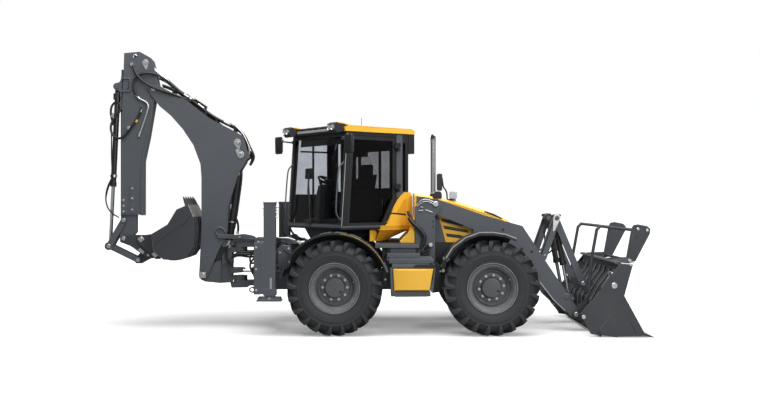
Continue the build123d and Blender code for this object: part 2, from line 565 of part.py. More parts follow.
with BuildPart() as coupler:
    for y in ((-98, -70), (70, 98)):
        slab([(-3940, 1420), (-3860, 1450), (-3603, 1450), (-3540, 1380), (-3330, 1170), (-3350, 1090),
              (-3500, 1080), (-3780, 1280), (-3940, 1340)], *y)
    slab([(-3700, 1110), (-3720, 1000), (-3620, 1000), (-3420, 1110), (-3440, 1160), (-3620, 1190)], -32,
         32)
    slab([(-3620, 1160), (-3430, 1100), (-3400, 1140), (-3560, 1330), (-3620, 1300)], -98, 98)
    pin(HOE_PIN, HOE_PIN_R + PIN_FIT, -110, 110, Mode.SUBTRACT)
    for at in (HOOK_PIN_A, HOOK_PIN_B):
        pin(at, HOE_PIN_R + PIN_FIT, -110, 110, Mode.SUBTRACT)
save(coupler, "quick_coupler")

HOE_SHELL = [(-3380, 1478), (-3350, 1210), (-3190, 1083), (-3011, 1074), (-2825, 1125), (-2722, 1290),
             (-2705, 1478), (-2724, 1729), (-2808, 1925), (-2838, 1912), (-2754, 1722), (-2732, 1478),
             (-2748, 1300), (-2845, 1150), (-3011, 1102), (-3180, 1112), (-3322, 1230), (-3350, 1470)]
HOE_WALL = [(-2858, 1915), (-2985, 1862), (-3128, 1629), (-3380, 1478), (-3330, 1200), (-3178, 1083),
            (-3011, 1074), (-2825, 1125), (-2722, 1290), (-2705, 1478), (-2724, 1729), (-2808, 1925)]
HOE_TOOTH = [(-2742, 1770), (-2780, 1752), (-2838, 1905), (-2876, 2010), (-2890, 2062), (-2846, 2010),
             (-2806, 1930)]
TEETH = 5
with BuildPart() as hoe_bucket:
    for side in (1, -1):
        slab(HOE_WALL, *sorted((side * (HOE_HALF - 18), side * HOE_HALF)))
        slab([(-3660, 1440), (-3380, 1478), (-3340, 1200), (-3296, 1075), (-3380, 1075), (-3440, 1150),
              (-3660, 1340)], *sorted((side * 104, side * 132)))
    slab(HOE_SHELL, -HOE_HALF + 5, HOE_HALF - 5)
    for k in range(TEETH):
        y = (HOE_HALF - 42) * (2.0 * k / (TEETH - 1) - 1)
        slab(HOE_TOOTH, y - 30, y + 30)
    for at in (HOOK_PIN_A, HOOK_PIN_B):
        pin(at, HOE_PIN_R, -134, 134)
save(hoe_bucket, "digging_bucket")

ram("boom_ram", BOOM_RAM_FOOT, BOOM_RAM_TOP, 54, 34, HOE_PIN_R, (58, 46), 1300, (0,))
ram("dipper_ram", DIP_RAM_FOOT, DIP_RAM_TOP, 50, 32, HOE_PIN_R, (56, 42), 1150, (0,))
ram("bucket_ram", BUCKET_RAM_TOP, ROCKER_END, 43, 28, HOE_PIN_R, (46, 30), 1590, (0,))

# ---------------------------------------------------------------- loader
ARM_SIDE = [(960, 1990), (1045, 2022), (1790, 1768), (2359, 1610), (2758, 1009), (3193, 359), (3240, 290),
            (3240, 225), (3190, 180), (3119, 215), (2839, 478), (2625, 758), (2150, 1200), (1790, 1460),
            (1708, 1516), (1008, 1802), (950, 1850)]
with BuildPart() as arms:
    pair(ARM_SIDE, *ARM_Y)
    for y in ((430, 450), (520, 540)):
        pair([(1600, 1570), (1640, 1400), (1700, 1385), (1760, 1400), (1830, 1480)], *y)
    pin((2600, 1010), 80, -ARM_Y[0] - 10, ARM_Y[0] + 10)
    pin_pair(CRANK_PIN, ARM_PIN_R, 386, ARM_Y[0] + 10)
    pin_pair(BUCKET_PIN, ARM_PIN_R, 398, 572)
    pair([(2940, 640), (3030, 560), (2985, 430), (2880, 540)], 214, ARM_Y[0] + 10)
    for y in ((214, 238), (322, 346)):
        pair([(2900, 520), (2960, 620), (3100, 560), (3170, 540), (3185, 480), (3140, 435), (3010, 420)],
             *y)
    pin_pair(ARM_PIN, ARM_PIN_R + PIN_FIT, 430, 540, Mode.SUBTRACT)
save(arms, "loader_arms")

with BuildPart() as cranks:
    for side in (1, -1):
        bar_between(CRANK_PIN, CRANK_TOP, 62, *sorted((side * 394, side * 430)))
        pin(CRANK_TOP, ARM_PIN_R, *sorted((side * 226, side * 400)))
        pin(CRANK_PIN, ARM_PIN_R + PIN_FIT, *sorted((side * 390, side * 440)), Mode.SUBTRACT)
save(cranks, "bell_cranks")

with BuildPart() as links:
    for side in (1, -1):
        bar_between(CRANK_TOP, LINK_FOOT, 50, *sorted((side * 338, side * 386)))
        pin(CRANK_TOP, ARM_PIN_R + PIN_FIT, *sorted((side * 330, side * 390)), Mode.SUBTRACT)
save(links, "loader_links")
ram("tilt_ram", CRANK_TOP, TILT_FOOT, 45, 28, ARM_PIN_R, (44, 30), 740, (-TILT_RAM_Y, TILT_RAM_Y))
ram("lift_ram", LIFT_BASE, LIFT_LUG, 46, 29, ARM_PIN_R, (49, 33), 900, (-485, 485))

BACK_WALL = [(3600, 1085), (3712, 1085), (3702, 1060), (3684, 990), (3656, 895), (3516, 700), (3394, 485),
             (3386, 200), (3440, 40), (3400, 6), (3352, 40), (3364, 200), (3372, 490), (3490, 712),
             (3636, 905), (3660, 1000), (3664, 1060)]
FORK_Y = 700.0
with BuildPart() as bucket_back:
    slab(BACK_WALL, -BACK_HALF, BACK_HALF)
    for side in (1, -1):
        slab([(3500, 700), (3400, 480), (3560, 600), (3660, 700), (3660, 800), (3570, 830)],
             *sorted((side * (BACK_HALF - 40), side * BACK_HALF)))
        pin(CLAM_PIN, 72, *sorted((side * (BACK_HALF - 40), side * BACK_HALF)))
        for y in ((398, 432), (538, 570)):
            slab([(3374, 490), (3368, 110), (3178, 180), (3110, 256), (3178, 330)],
                 *sorted((side * y[0], side * y[1])))
        for y in ((306, 332), (392, 418)):
            slab([(3400, 530), (3290, 680), (3290, 750), (3350, 760), (3506, 720)],
                 *sorted((side * y[0], side * y[1])))
        pin(CLAM_PIN, ARM_PIN_R, *sorted((side * (BACK_HALF - 10), side * (BUCKET_HALF - 1))))
        for y in ((CLAM_RAM_Y - 58, CLAM_RAM_Y - 32), (CLAM_RAM_Y + 32, CLAM_RAM_Y + 58)):
            slab([(3376, 520), (3290, 510), (3262, 470), (3290, 430), (3374, 430)],
                 *sorted((side * y[0], side * y[1])))
        pin(CLAM_BASE, 20, *sorted((side * (CLAM_RAM_Y - 58), side * (CLAM_RAM_Y + 58))))
        for y in (FORK_Y - 84, FORK_Y + 60):
            slab([(3610, 1078), (3690, 1080), (3925, 1050), (3972, 1080), (3972, 1110), (3930, 1138),
                  (3640, 1130)], *sorted((side * y, side * (y + 24))))
        pin(BUCKET_PIN, ARM_PIN_R + PIN_FIT, *sorted((side * 390, side * 580)), Mode.SUBTRACT)
        pin(FORK_PIN, FORK_SHAFT_R + PIN_FIT, *sorted((side * 600, side * 800)), Mode.SUBTRACT)
save(bucket_back, "bucket_back")

CLAM_SIDE = [(3869, 1072), (3687, 1085), (3534, 898), (3394, 687), (3100, 350), (3253, 50), (3379, 36),
             (3645, 0), (4190, 0), (4037, 64), (3743, 610)]
with BuildPart() as clam:
    for side in (1, -1):
        slab(CLAM_SIDE, *sorted((side * (BUCKET_HALF - 22), side * BUCKET_HALF)))
    slab([(3470, 30), (3645, 0), (4190, 0), (4060, 26), (3650, 26), (3480, 56)], -BUCKET_HALF + 10,
         BUCKET_HALF - 10)
    for side in (1, -1):
        pin(CLAM_EAR, 30, *sorted((side * (CLAM_RAM_Y + 22), side * (BUCKET_HALF - 15))))
    for side in (1, -1):
        pin(CLAM_PIN, ARM_PIN_R + PIN_FIT, *sorted((side * BACK_HALF, side * (BUCKET_HALF + 20))),
            Mode.SUBTRACT)
save(clam, "clam")
ram("clam_ram", CLAM_BASE, CLAM_EAR, 28, 16, 20, (30, 18), 290, (-CLAM_RAM_Y, CLAM_RAM_Y), held=45.0)

FORK_PLATE = [(3892, 1062), (3935, 1053), (4010, 1060), (4047, 1085), (4262, 1497), (4270, 1570),
              (4226, 1612), (4085, 1640), (4016, 1628), (3984, 1572)]
FORK_BAR = [(4000, 1556), (3520, 1612), (3468, 1560), (3387, 1112), (3346, 640)]
BAR_R = 24.0
with BuildPart() as forks:
    pin(FORK_PIN, FORK_SHAFT_R, -FORK_Y - 100, FORK_Y + 100)
    for side in (1, -1):
        y = side * FORK_Y
        slab(FORK_PLATE, y - 12, y + 12)
        y -= side * 33
        for start, end in zip(FORK_BAR, FORK_BAR[1:]):
            rod((start[0], y, start[1]), (end[0], y, end[1]), BAR_R)
        for at in FORK_BAR[1:-1]:
            with Locations((at[0], y, at[1])):
                Sphere(BAR_R)
save(forks, "pallet_forks")

# ---------------------------------------------------------------- cab
# drawn in its own frame: X forward from the slew axis
CAB_PLACE = Location((SLEW_X, 0, 0), (0, 0, CAB_TURN))


def save_cab(builder, label):
    with BuildPart() as placed:
        with Locations(CAB_PLACE):
            add(builder.part)
    save(placed, label)


FRAME_LOW = CAB_FLOOR + SEAT
FRAME_HIGH = CAB_TOP - 40.0
CAB_LEAN = 105.0            # how far the windscreen's top lies behind its foot
CORNER = 78.0               # corner pillar
WINDOW_TOP = FRAME_HIGH - 60.0


def front_at(z):
    """Where the leaning front wall is at a height."""
    return CAB_FRONT - CAB_LEAN * (z - FRAME_LOW) / (FRAME_HIGH - FRAME_LOW)


def panel(points, inset, y_low, y_high, mode=Mode.ADD):
    """Like slab, with the outline drawn in by an inset."""
    with BuildSketch(Plane.XZ.offset(-y_high)) as outline:
        with BuildLine():
            Polyline(*points, close=True)
        make_face()
        offset(amount=-inset, kind=Kind.INTERSECTION)
    extrude(outline.sketch, amount=y_high - y_low, mode=mode)


def on_front(z_low, z_high, near, far, y_low, y_high):
    """A pad that stands on the leaning front wall."""
    slab([(front_at(z_low) + near, z_low), (front_at(z_low) + far, z_low), (front_at(z_high) + far, z_high),
          (front_at(z_high) + near, z_high)], y_low, y_high)


SILL = CAB_FLOOR + 12.0
SIDE_HOLE = [(front_at(SILL) - CORNER, SILL), (front_at(WINDOW_TOP) - CORNER, WINDOW_TOP),
             (DOOR_BACK, WINDOW_TOP), (DOOR_BACK, 2020), (-436, 1890), (-364, 1750), (-308, 1640),
             (-276, SILL)]
# narrow pane behind the hinge pillar: x from, x to, z from, z to
REAR_PANE = (-702.0, -654.0, 2150.0, 2900.0)
FRONT_WINDOW = (-CAB_HALF + 62, CAB_HALF - 62, 1650, WINDOW_TOP - 15)
REAR_WINDOW = (-CAB_HALF + 110, CAB_HALF - 110, 2160, WINDOW_TOP - 30)
INNER = CAB_HALF - CAB_WALL
HINGE_X = DOOR_BACK - 30.0
HINGES = (2185.0, 2820.0)
HINGE_R = 10.0
WHEEL_RING = 165.0

with BuildPart() as cab_base:
    block((CAB_BACK + 5, CAB_FRONT - 5), (-CAB_HALF + 5, CAB_HALF - 5), (CAB_FLOOR - 28, CAB_FLOOR))
    with BuildSketch(Plane.XY.offset(CAB_FLOOR - 28)) as top:
        with Locations((-45, 0)):
            RectangleRounded(1000, 1160, 300)
    with BuildSketch(Plane.XY.offset(SLEW_Z)) as bottom:
        RectangleRounded(2 * SLEW_R + 6, 2 * SLEW_R + 6, SLEW_R)
    loft([bottom.sketch.face(), top.sketch.face()])
    post(0, 0, PINTLE_R + PIN_FIT, SLEW_Z - 1, SLEW_Z + 112, Mode.SUBTRACT)
    slab([(310, CAB_FLOOR), (410, CAB_FLOOR), (370, 2180), (310, 2240), (260, 2190)], -70, 70)
    for side in (1, -1):
        slab([(-480, CAB_FLOOR), (160, CAB_FLOOR), (200, 2060), (150, 2110), (-300, 2110), (-480, 2000)],
             *sorted((side * 330, side * 440)))
    with Locations(Location((250, 0, 2300), (0, -28, 0))):
        Torus(WHEEL_RING, 14)
        Cylinder(26, 60)
        Box(2 * WHEEL_RING, 30, 12)
        Box(30, 2 * WHEEL_RING, 12)
    rod((300, 0, 2200), (250, 0, 2310), 24)
save_cab(cab_base, "cab_base")

with BuildPart() as cab_frame:
    slab([(CAB_BACK, FRAME_LOW), (CAB_FRONT, FRAME_LOW), (front_at(FRAME_HIGH), FRAME_HIGH),
          (CAB_BACK, FRAME_HIGH)], -CAB_HALF, CAB_HALF)
    slab([(CAB_BACK + CAB_WALL, FRAME_LOW - 1), (CAB_FRONT - CAB_WALL, FRAME_LOW - 1),
          (front_at(FRAME_HIGH) - CAB_WALL, FRAME_HIGH + 1), (CAB_BACK + CAB_WALL, FRAME_HIGH + 1)], -INNER,
         INNER, Mode.SUBTRACT)
    for side in (1, -1):
        slab(SIDE_HOLE, *sorted((side * (INNER - 20), side * (CAB_HALF + 20))), Mode.SUBTRACT)
        block(REAR_PANE[:2], sorted((side * (INNER - 20), side * (CAB_HALF + 20))), REAR_PANE[2:],
              Mode.SUBTRACT)
    block((front_at(WINDOW_TOP) - CAB_WALL - 10, CAB_FRONT + 20), FRONT_WINDOW[:2], FRONT_WINDOW[2:],
          Mode.SUBTRACT)
    block((CAB_BACK - 20, CAB_BACK + CAB_WALL + 20), REAR_WINDOW[:2], REAR_WINDOW[2:], Mode.SUBTRACT)
    for z in HINGES:
        block((HINGE_X - 30, HINGE_X + 18), (CAB_HALF, CAB_HALF + 40), (z - 50, z - SEAT))
        post(HINGE_X, CAB_HALF + 22, HINGE_R, z - 20, z + 40)
save_cab(cab_frame, "cab_frame")

ROOF_LOW = FRAME_HIGH + SEAT
ROOF_SIDE = CAB_HALF + 20.0
POD_Y = (548.0, 742.0)          # lamp pods over the windscreen
with BuildPart() as cab_roof:
    slab([(CAB_BACK - 120, ROOF_LOW), (front_at(FRAME_HIGH) + 40, ROOF_LOW),
          (front_at(FRAME_HIGH) + 50, CAB_TOP + 20), (front_at(FRAME_HIGH) - 60, CAB_TOP + 52),
          (CAB_BACK - 60, CAB_TOP + 42), (CAB_BACK - 120, CAB_TOP + 12)], -ROOF_SIDE, ROOF_SIDE)
    for side in (1, -1):
        slab([(front_at(FRAME_HIGH) - 30, ROOF_LOW + 10), (580, ROOF_LOW - 30), (625, ROOF_LOW + 10),
              (632, CAB_TOP + 60), (590, CAB_TOP + 85), (470, CAB_TOP + 82), (340, CAB_TOP + 46)],
             *sorted((side * POD_Y[0], side * POD_Y[1])))
    for side in (1, -1):
        block((CAB_BACK - 112, CAB_BACK - SEAT), sorted((side * 470, side * (ROOF_SIDE - 8))),
              (2740, ROOF_LOW))
save_cab(cab_roof, "cab_roof")

# hollow in the tail panel's cheeks
POCKET = [(-700, 1790), (-700, 2020), (-655, 2010), (-560, 1880), (-498, 1790)]
with BuildPart() as tail:
    slab([(TAIL_BACK, TAIL_FOLD), (TAIL_BACK, TAIL_TOP - 70), (TAIL_BACK + 40, TAIL_TOP)] + TAIL_EDGE,
         -CAB_HALF - TAIL_SKIN, CAB_HALF + TAIL_SKIN)
    block((CAB_BACK - SEAT, 0), (-CAB_HALF - SEAT, CAB_HALF + SEAT), (CAB_FLOOR - 28 - SEAT, TAIL_TOP + 1),
          Mode.SUBTRACT)
    block((-600, 0), (-CAB_HALF + 56, CAB_HALF - 56), (TAIL_FOLD - 1, CAB_FLOOR), Mode.SUBTRACT)
    for side in (1, -1):
        slab(POCKET, *sorted((side * (CAB_HALF + TAIL_SKIN - 10), side * (CAB_HALF + TAIL_SKIN + 1))),
             Mode.SUBTRACT)
    with BuildSketch(Plane.XY.offset(SLEW_Z + 4)) as skirt:
        Circle(SKIRT_R)
        Circle(SKIRT_R - 18, mode=Mode.SUBTRACT)
        with Locations((500, 0)):
            Rectangle(1120, 1600, mode=Mode.SUBTRACT)
    extrude(skirt.sketch, amount=TAIL_FOLD - SLEW_Z - 3)
save_cab(tail, "tail_panel")

with BuildPart() as glass:
    panel(SIDE_HOLE, SEAT, -CAB_HALF + 11, -CAB_HALF + 11 + GLASS)
    for side in (1, -1):
        y = side * (CAB_HALF - 14)
        block((REAR_PANE[0] + SEAT, REAR_PANE[1] - SEAT), (y - GLASS / 2, y + GLASS / 2),
              (REAR_PANE[2] + SEAT, REAR_PANE[3] - SEAT))
    y_low, y_high, z_low, z_high = FRONT_WINDOW
    on_front(z_low + SEAT, z_high - SEAT, -20, -20 + GLASS, y_low + SEAT, y_high - SEAT)
    y_low, y_high, z_low, z_high = REAR_WINDOW
    block((CAB_BACK + 14, CAB_BACK + 14 + GLASS), (y_low + SEAT, y_high - SEAT),
          (z_low + SEAT, z_high - SEAT))
save_cab(glass, "cab_glass")

DOOR_GAP = 6.0
DOOR_EDGE = 60.0
with BuildPart() as door:
    panel(SIDE_HOLE, DOOR_GAP, CAB_HALF - 42, CAB_HALF - 2)
    panel(SIDE_HOLE, DOOR_EDGE, CAB_HALF - 60, CAB_HALF + 10, Mode.SUBTRACT)
    for z in HINGES:
        block((HINGE_X - 14, DOOR_BACK + 40), (CAB_HALF + 8, CAB_HALF + 36), (z, z + 46))
        block((DOOR_BACK + 10, DOOR_BACK + 40), (CAB_HALF - 10, CAB_HALF + 10), (z, z + 46))
        post(HINGE_X, CAB_HALF + 22, HINGE_R + PIN_FIT, z - 1, z + 41, Mode.SUBTRACT)
save_cab(door, "cab_door")

with BuildPart() as door_glass:
    panel(SIDE_HOLE, DOOR_EDGE + SEAT, CAB_HALF - 25, CAB_HALF - 25 + GLASS)
save_cab(door_glass, "door_glass")

with BuildPart() as seat:
    block((-420, 60), (-240, 240), (1880, 1990))
    slab([(-440, 1900), (-330, 1900), (-430, 2440), (-560, 2440)], -225, 225)
    block((-350, -20), (-150, 150), (CAB_FLOOR + SEAT, 1885))
save_cab(seat, "seat")

with BuildPart() as cab_fittings:
    for side, drop in ((1, 0), (-1, 60)):
        x = front_at(2950)
        on_front(2900, 2975, SEAT, 40, *sorted((side * 690, side * 730)))
        rod((x + 22, side * 705, 2935), (x + 132, side * 1000, 2935), 15)
        block((x + 105, x + 155), sorted((side * 915, side * 1065)), (2705 + drop, 2985 + drop))
        for z in (1700, 2560):
            on_front(z - 22, z + 22, SEAT, 24, *sorted((side * 704, side * 748)))
        grip = [(front_at(1700) + 12, 1700), (front_at(1760) + 88, 1790), (front_at(2480) + 88, 2470),
                (front_at(2560) + 12, 2560)]
        for start, end in zip(grip, grip[1:]):
            rod((start[0], side * 726, start[1]), (end[0], side * 726, end[1]), 14)
        for at in grip[1:-1]:
            with Locations((at[0], side * 726, at[1])):
                Sphere(14)
save_cab(cab_fittings, "cab_fittings")
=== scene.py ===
# %% [markdown]
# # Backhoe loader
# A wheeled digger with a cab that turns on a ring. This lesson dresses the packed
# solids in paint, rubber, chrome and glass, and adds the detail that a solid leaves out.
# Every length is in metres: X runs to the loader bucket, Y to the left side, Z up.

# %% Load the fixed frame
from math import atan2, cos, hypot, pi, radians, sin, sqrt

import bmesh
import bpy
from mathutils import Matrix, Vector


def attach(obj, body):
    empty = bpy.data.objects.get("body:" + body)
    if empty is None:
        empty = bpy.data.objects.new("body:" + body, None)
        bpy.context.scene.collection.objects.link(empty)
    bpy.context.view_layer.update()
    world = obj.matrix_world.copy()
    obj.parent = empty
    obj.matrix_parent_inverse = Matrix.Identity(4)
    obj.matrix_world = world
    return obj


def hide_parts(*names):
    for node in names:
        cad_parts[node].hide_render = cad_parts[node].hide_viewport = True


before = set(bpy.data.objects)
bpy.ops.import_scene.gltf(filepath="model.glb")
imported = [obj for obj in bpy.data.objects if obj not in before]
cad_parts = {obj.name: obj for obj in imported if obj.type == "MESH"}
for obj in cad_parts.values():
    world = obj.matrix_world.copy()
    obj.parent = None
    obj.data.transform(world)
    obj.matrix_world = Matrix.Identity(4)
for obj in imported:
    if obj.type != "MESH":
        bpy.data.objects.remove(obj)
scene = bpy.context.scene
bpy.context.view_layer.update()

# %% [markdown]
# ## Surface effects
# Painted steel on a machine like this shows three things at once: a fine orange peel
# from the spray gun, paler edges where hands and stones have rubbed, and a film of dust
# that is thicker near the ground. They could be painted into each material, but a node
# group is built once and placed in each finish with its own numbers.

# %% Effects as node groups
def effect(name, inputs, outputs):
    """A shader node group with named sockets; inputs are (name, kind, value)."""
    group = bpy.data.node_groups.new(name, "ShaderNodeTree")
    for label, kind, value in inputs:
        socket = group.interface.new_socket(name=label, in_out="INPUT", socket_type=kind)
        if value is not None:
            socket.default_value = value
    for label, kind in outputs:
        group.interface.new_socket(name=label, in_out="OUTPUT", socket_type=kind)
    entry = group.nodes.new("NodeGroupInput")
    leave = group.nodes.new("NodeGroupOutput")
    return group, entry, leave


def add_node(tree, kind, values=(), **settings):
    """A node with its settings, and its inputs filled by (socket, value or link)."""
    node = tree.nodes.new(kind)
    for label, value in settings.items():
        setattr(node, label, value)
    for socket, value in values:
        if isinstance(value, bpy.types.NodeSocket):
            tree.links.new(value, node.inputs[socket])
        else:
            node.inputs[socket].default_value = value
    return node


VECTOR, FLOAT = "NodeSocketVector", "NodeSocketFloat"


def build_edge_rub():
    """White where an edge is sharp, broken up by noise: paint rubbed to primer."""
    group, entry, leave = effect("Edge rub", [("Vector", VECTOR, None), ("Radius", FLOAT, 0.008),
        ("Breakup", FLOAT, 9.0)], [("Mask", FLOAT)])
    soft = add_node(group, "ShaderNodeBevel", [("Radius", entry.outputs["Radius"])], samples=4)
    real = add_node(group, "ShaderNodeNewGeometry")
    turn = add_node(group, "ShaderNodeVectorMath", [(0, soft.outputs[0]),
        (1, real.outputs["Normal"])], operation="DOT_PRODUCT")
    edge = add_node(group, "ShaderNodeMapRange", [("Value", turn.outputs["Value"]),
        ("From Min", 0.99), ("From Max", 0.86)])
    spots = add_node(group, "ShaderNodeTexNoise", [("Vector", entry.outputs["Vector"]),
        ("Scale", entry.outputs["Breakup"]), ("Detail", 5.0), ("Roughness", 0.7)])
    patch = add_node(group, "ShaderNodeMapRange", [("Value", spots.outputs["Fac"]),
        ("From Min", 0.42), ("From Max", 0.62)])
    mask = add_node(group, "ShaderNodeMath", [(0, edge.outputs[0]), (1, patch.outputs[0])],
        operation="MULTIPLY")
    group.links.new(mask.outputs[0], leave.inputs["Mask"])
    return group


def build_dust_film():
    """White near the ground and in drifts, for dust that has settled."""
    group, entry, leave = effect("Dust film", [("Vector", VECTOR, None),
        ("Clean height", FLOAT, 1.4), ("Grain", FLOAT, 3.0)], [("Mask", FLOAT)])
    axes = add_node(group, "ShaderNodeSeparateXYZ", [(0, entry.outputs["Vector"])])
    low = add_node(group, "ShaderNodeMapRange", [("Value", axes.outputs["Z"]),
        ("From Min", entry.outputs["Clean height"]), ("From Max", 0.0), ("To Min", 0.12),
        ("To Max", 0.8)])
    cloud = add_node(group, "ShaderNodeTexNoise", [("Vector", entry.outputs["Vector"]),
        ("Scale", entry.outputs["Grain"]), ("Detail", 7.0), ("Roughness", 0.62)])
    patch = add_node(group, "ShaderNodeMapRange", [("Value", cloud.outputs["Fac"]),
        ("From Min", 0.36), ("From Max", 0.72)])
    mask = add_node(group, "ShaderNodeMath", [(0, low.outputs[0]), (1, patch.outputs[0])],
        operation="MULTIPLY")
    group.links.new(mask.outputs[0], leave.inputs["Mask"])
    return group


def build_orange_peel():
    """The ripple of sprayed paint, and a slow drift of its colour."""
    group, entry, leave = effect("Orange peel", [("Vector", VECTOR, None), ("Scale", FLOAT, 180.0),
        ("Strength", FLOAT, 0.05)], [("Normal", VECTOR), ("Drift", FLOAT)])
    ripple = add_node(group, "ShaderNodeTexNoise", [("Vector", entry.outputs["Vector"]),
        ("Scale", entry.outputs["Scale"]), ("Detail", 2.0)])
    lift = add_node(group, "ShaderNodeBump", [("Strength", entry.outputs["Strength"]),
        ("Distance", 0.001), ("Height", ripple.outputs["Fac"])])
    slow = add_node(group, "ShaderNodeTexNoise", [("Vector", entry.outputs["Vector"]),
        ("Scale", 1.7), ("Detail", 4.0)])
    drift = add_node(group, "ShaderNodeMapRange", [("Value", slow.outputs["Fac"]),
        ("From Min", 0.3), ("From Max", 0.7)])
    group.links.new(lift.outputs[0], leave.inputs["Normal"])
    group.links.new(drift.outputs[0], leave.inputs["Drift"])
    return group


def build_moulded_grain():
    """The pebbled skin of moulded plastic, rubber or cloth."""
    group, entry, leave = effect("Moulded grain", [("Vector", VECTOR, None),
        ("Scale", FLOAT, 320.0), ("Strength", FLOAT, 0.25)], [("Normal", VECTOR), ("Drift", FLOAT)])
    pebble = add_node(group, "ShaderNodeTexVoronoi", [("Vector", entry.outputs["Vector"]),
        ("Scale", entry.outputs["Scale"])], feature="SMOOTH_F1")
    lift = add_node(group, "ShaderNodeBump", [("Strength", entry.outputs["Strength"]),
        ("Distance", 0.001), ("Height", pebble.outputs["Distance"])])
    slow = add_node(group, "ShaderNodeTexNoise", [("Vector", entry.outputs["Vector"]),
        ("Scale", 5.0), ("Detail", 6.0)])
    group.links.new(lift.outputs[0], leave.inputs["Normal"])
    group.links.new(slow.outputs["Fac"], leave.inputs["Drift"])
    return group


EDGE_RUB = build_edge_rub()
DUST_FILM = build_dust_film()
ORANGE_PEEL = build_orange_peel()
MOULDED_GRAIN = build_moulded_grain()
print("effects:", [g.name for g in bpy.data.node_groups])

# %% [markdown]
# ## Finishes
# A Principled shader stands at the end of each finish. Its gloss numbers are constants,
# so they sit on the shader's own sockets; only colour, roughness and the normal vary.

# %% Paint, plastic, rubber and metal
def finish(name, roughness, metallic=0.0, coat=0.0):
    """A node material with a Principled shader, and the object coordinates to feed effects."""
    material = bpy.data.materials.new(name)
    material.use_nodes = True
    tree = material.node_tree
    shader = tree.nodes["Principled BSDF"]
    shader.inputs["Roughness"].default_value = roughness
    shader.inputs["Metallic"].default_value = metallic
    shader.inputs["Coat Weight"].default_value = coat
    shader.inputs["Coat Roughness"].default_value = 0.16
    place = tree.nodes.new("ShaderNodeTexCoord").outputs["Object"]
    return material, tree, shader, place


def use_effect(tree, group, place, **values):
    """Place a group in a material; each value goes to the input of its name."""
    node = tree.nodes.new("ShaderNodeGroup")
    node.node_tree = group
    tree.links.new(place, node.inputs["Vector"])
    for label, value in values.items():
        node.inputs[label.replace("_", " ")].default_value = value
    return node


def blend_colour(tree, factor, low, high):
    """Mix two colours by a mask; each colour is four numbers or a link."""
    node = tree.nodes.new("ShaderNodeMix")
    node.data_type = "RGBA"
    for socket, value in ((0, factor), (6, low), (7, high)):
        if isinstance(value, bpy.types.NodeSocket):
            tree.links.new(value, node.inputs[socket])
        else:
            node.inputs[socket].default_value = value
    return node.outputs[2]


def scaled(tree, value, amount):
    return add_node(tree, "ShaderNodeMath", [(0, value), (1, amount)],
        operation="MULTIPLY").outputs[0]


def shade(colour, factor):
    """A darker or paler version of a colour."""
    return (colour[0] * factor, colour[1] * factor, colour[2] * factor, 1.0)


DUST = (0.3, 0.285, 0.26, 1.0)


def machine_paint(name, colour, roughness, rub, rub_amount, dust_amount, coat=0.0,
    clean_height=1.5):
    """Sprayed steel: drifting colour, rubbed edges and a film of dust."""
    material, tree, shader, place = finish(name, roughness, coat=coat)
    peel = use_effect(tree, ORANGE_PEEL, place)
    edge = use_effect(tree, EDGE_RUB, place)
    film = use_effect(tree, DUST_FILM, place, Clean_height=clean_height)
    body = blend_colour(tree, peel.outputs["Drift"], shade(colour, 0.93), shade(colour, 1.05))
    body = blend_colour(tree, scaled(tree, edge.outputs["Mask"], rub_amount), body, (*rub, 1.0))
    body = blend_colour(tree, scaled(tree, film.outputs["Mask"], dust_amount), body, DUST)
    tree.links.new(body, shader.inputs["Base Color"])
    rough = add_node(tree, "ShaderNodeMapRange", [("Value", film.outputs["Mask"]),
        ("To Min", roughness), ("To Max", min(1.0, roughness + 0.3))])
    tree.links.new(rough.outputs[0], shader.inputs["Roughness"])
    tree.links.new(peel.outputs["Normal"], shader.inputs["Normal"])
    return material


def moulded(name, colour, roughness, scale=320.0, strength=0.25, drift=0.3, coat=0.0):
    """Plastic, rubber or cloth with a grain."""
    material, tree, shader, place = finish(name, roughness, coat=coat)
    grain = use_effect(tree, MOULDED_GRAIN, place, Scale=scale, Strength=strength)
    tree.links.new(blend_colour(tree, grain.outputs["Drift"], shade(colour, 1 - drift),
        shade(colour, 1 + drift)), shader.inputs["Base Color"])
    rough = add_node(tree, "ShaderNodeMapRange", [("Value", grain.outputs["Drift"]),
        ("To Min", roughness - 0.08), ("To Max", roughness + 0.1)])
    tree.links.new(rough.outputs[0], shader.inputs["Roughness"])
    tree.links.new(grain.outputs["Normal"], shader.inputs["Normal"])
    return material


def bare_metal(name, colour, roughness, smear):
    """Metal without paint, smeared by hands and oil."""
    material, tree, shader, place = finish(name, roughness, metallic=1.0)
    cloud = add_node(tree, "ShaderNodeTexNoise", [("Vector", place), ("Scale", 14.0),
        ("Detail", 6.0)])
    tree.links.new(blend_colour(tree, cloud.outputs["Fac"], shade(colour, 0.86),
        shade(colour, 1.04)), shader.inputs["Base Color"])
    rough = add_node(tree, "ShaderNodeMapRange", [("Value", cloud.outputs["Fac"]),
        ("To Min", roughness), ("To Max", roughness + smear)])
    tree.links.new(rough.outputs[0], shader.inputs["Roughness"])
    return material


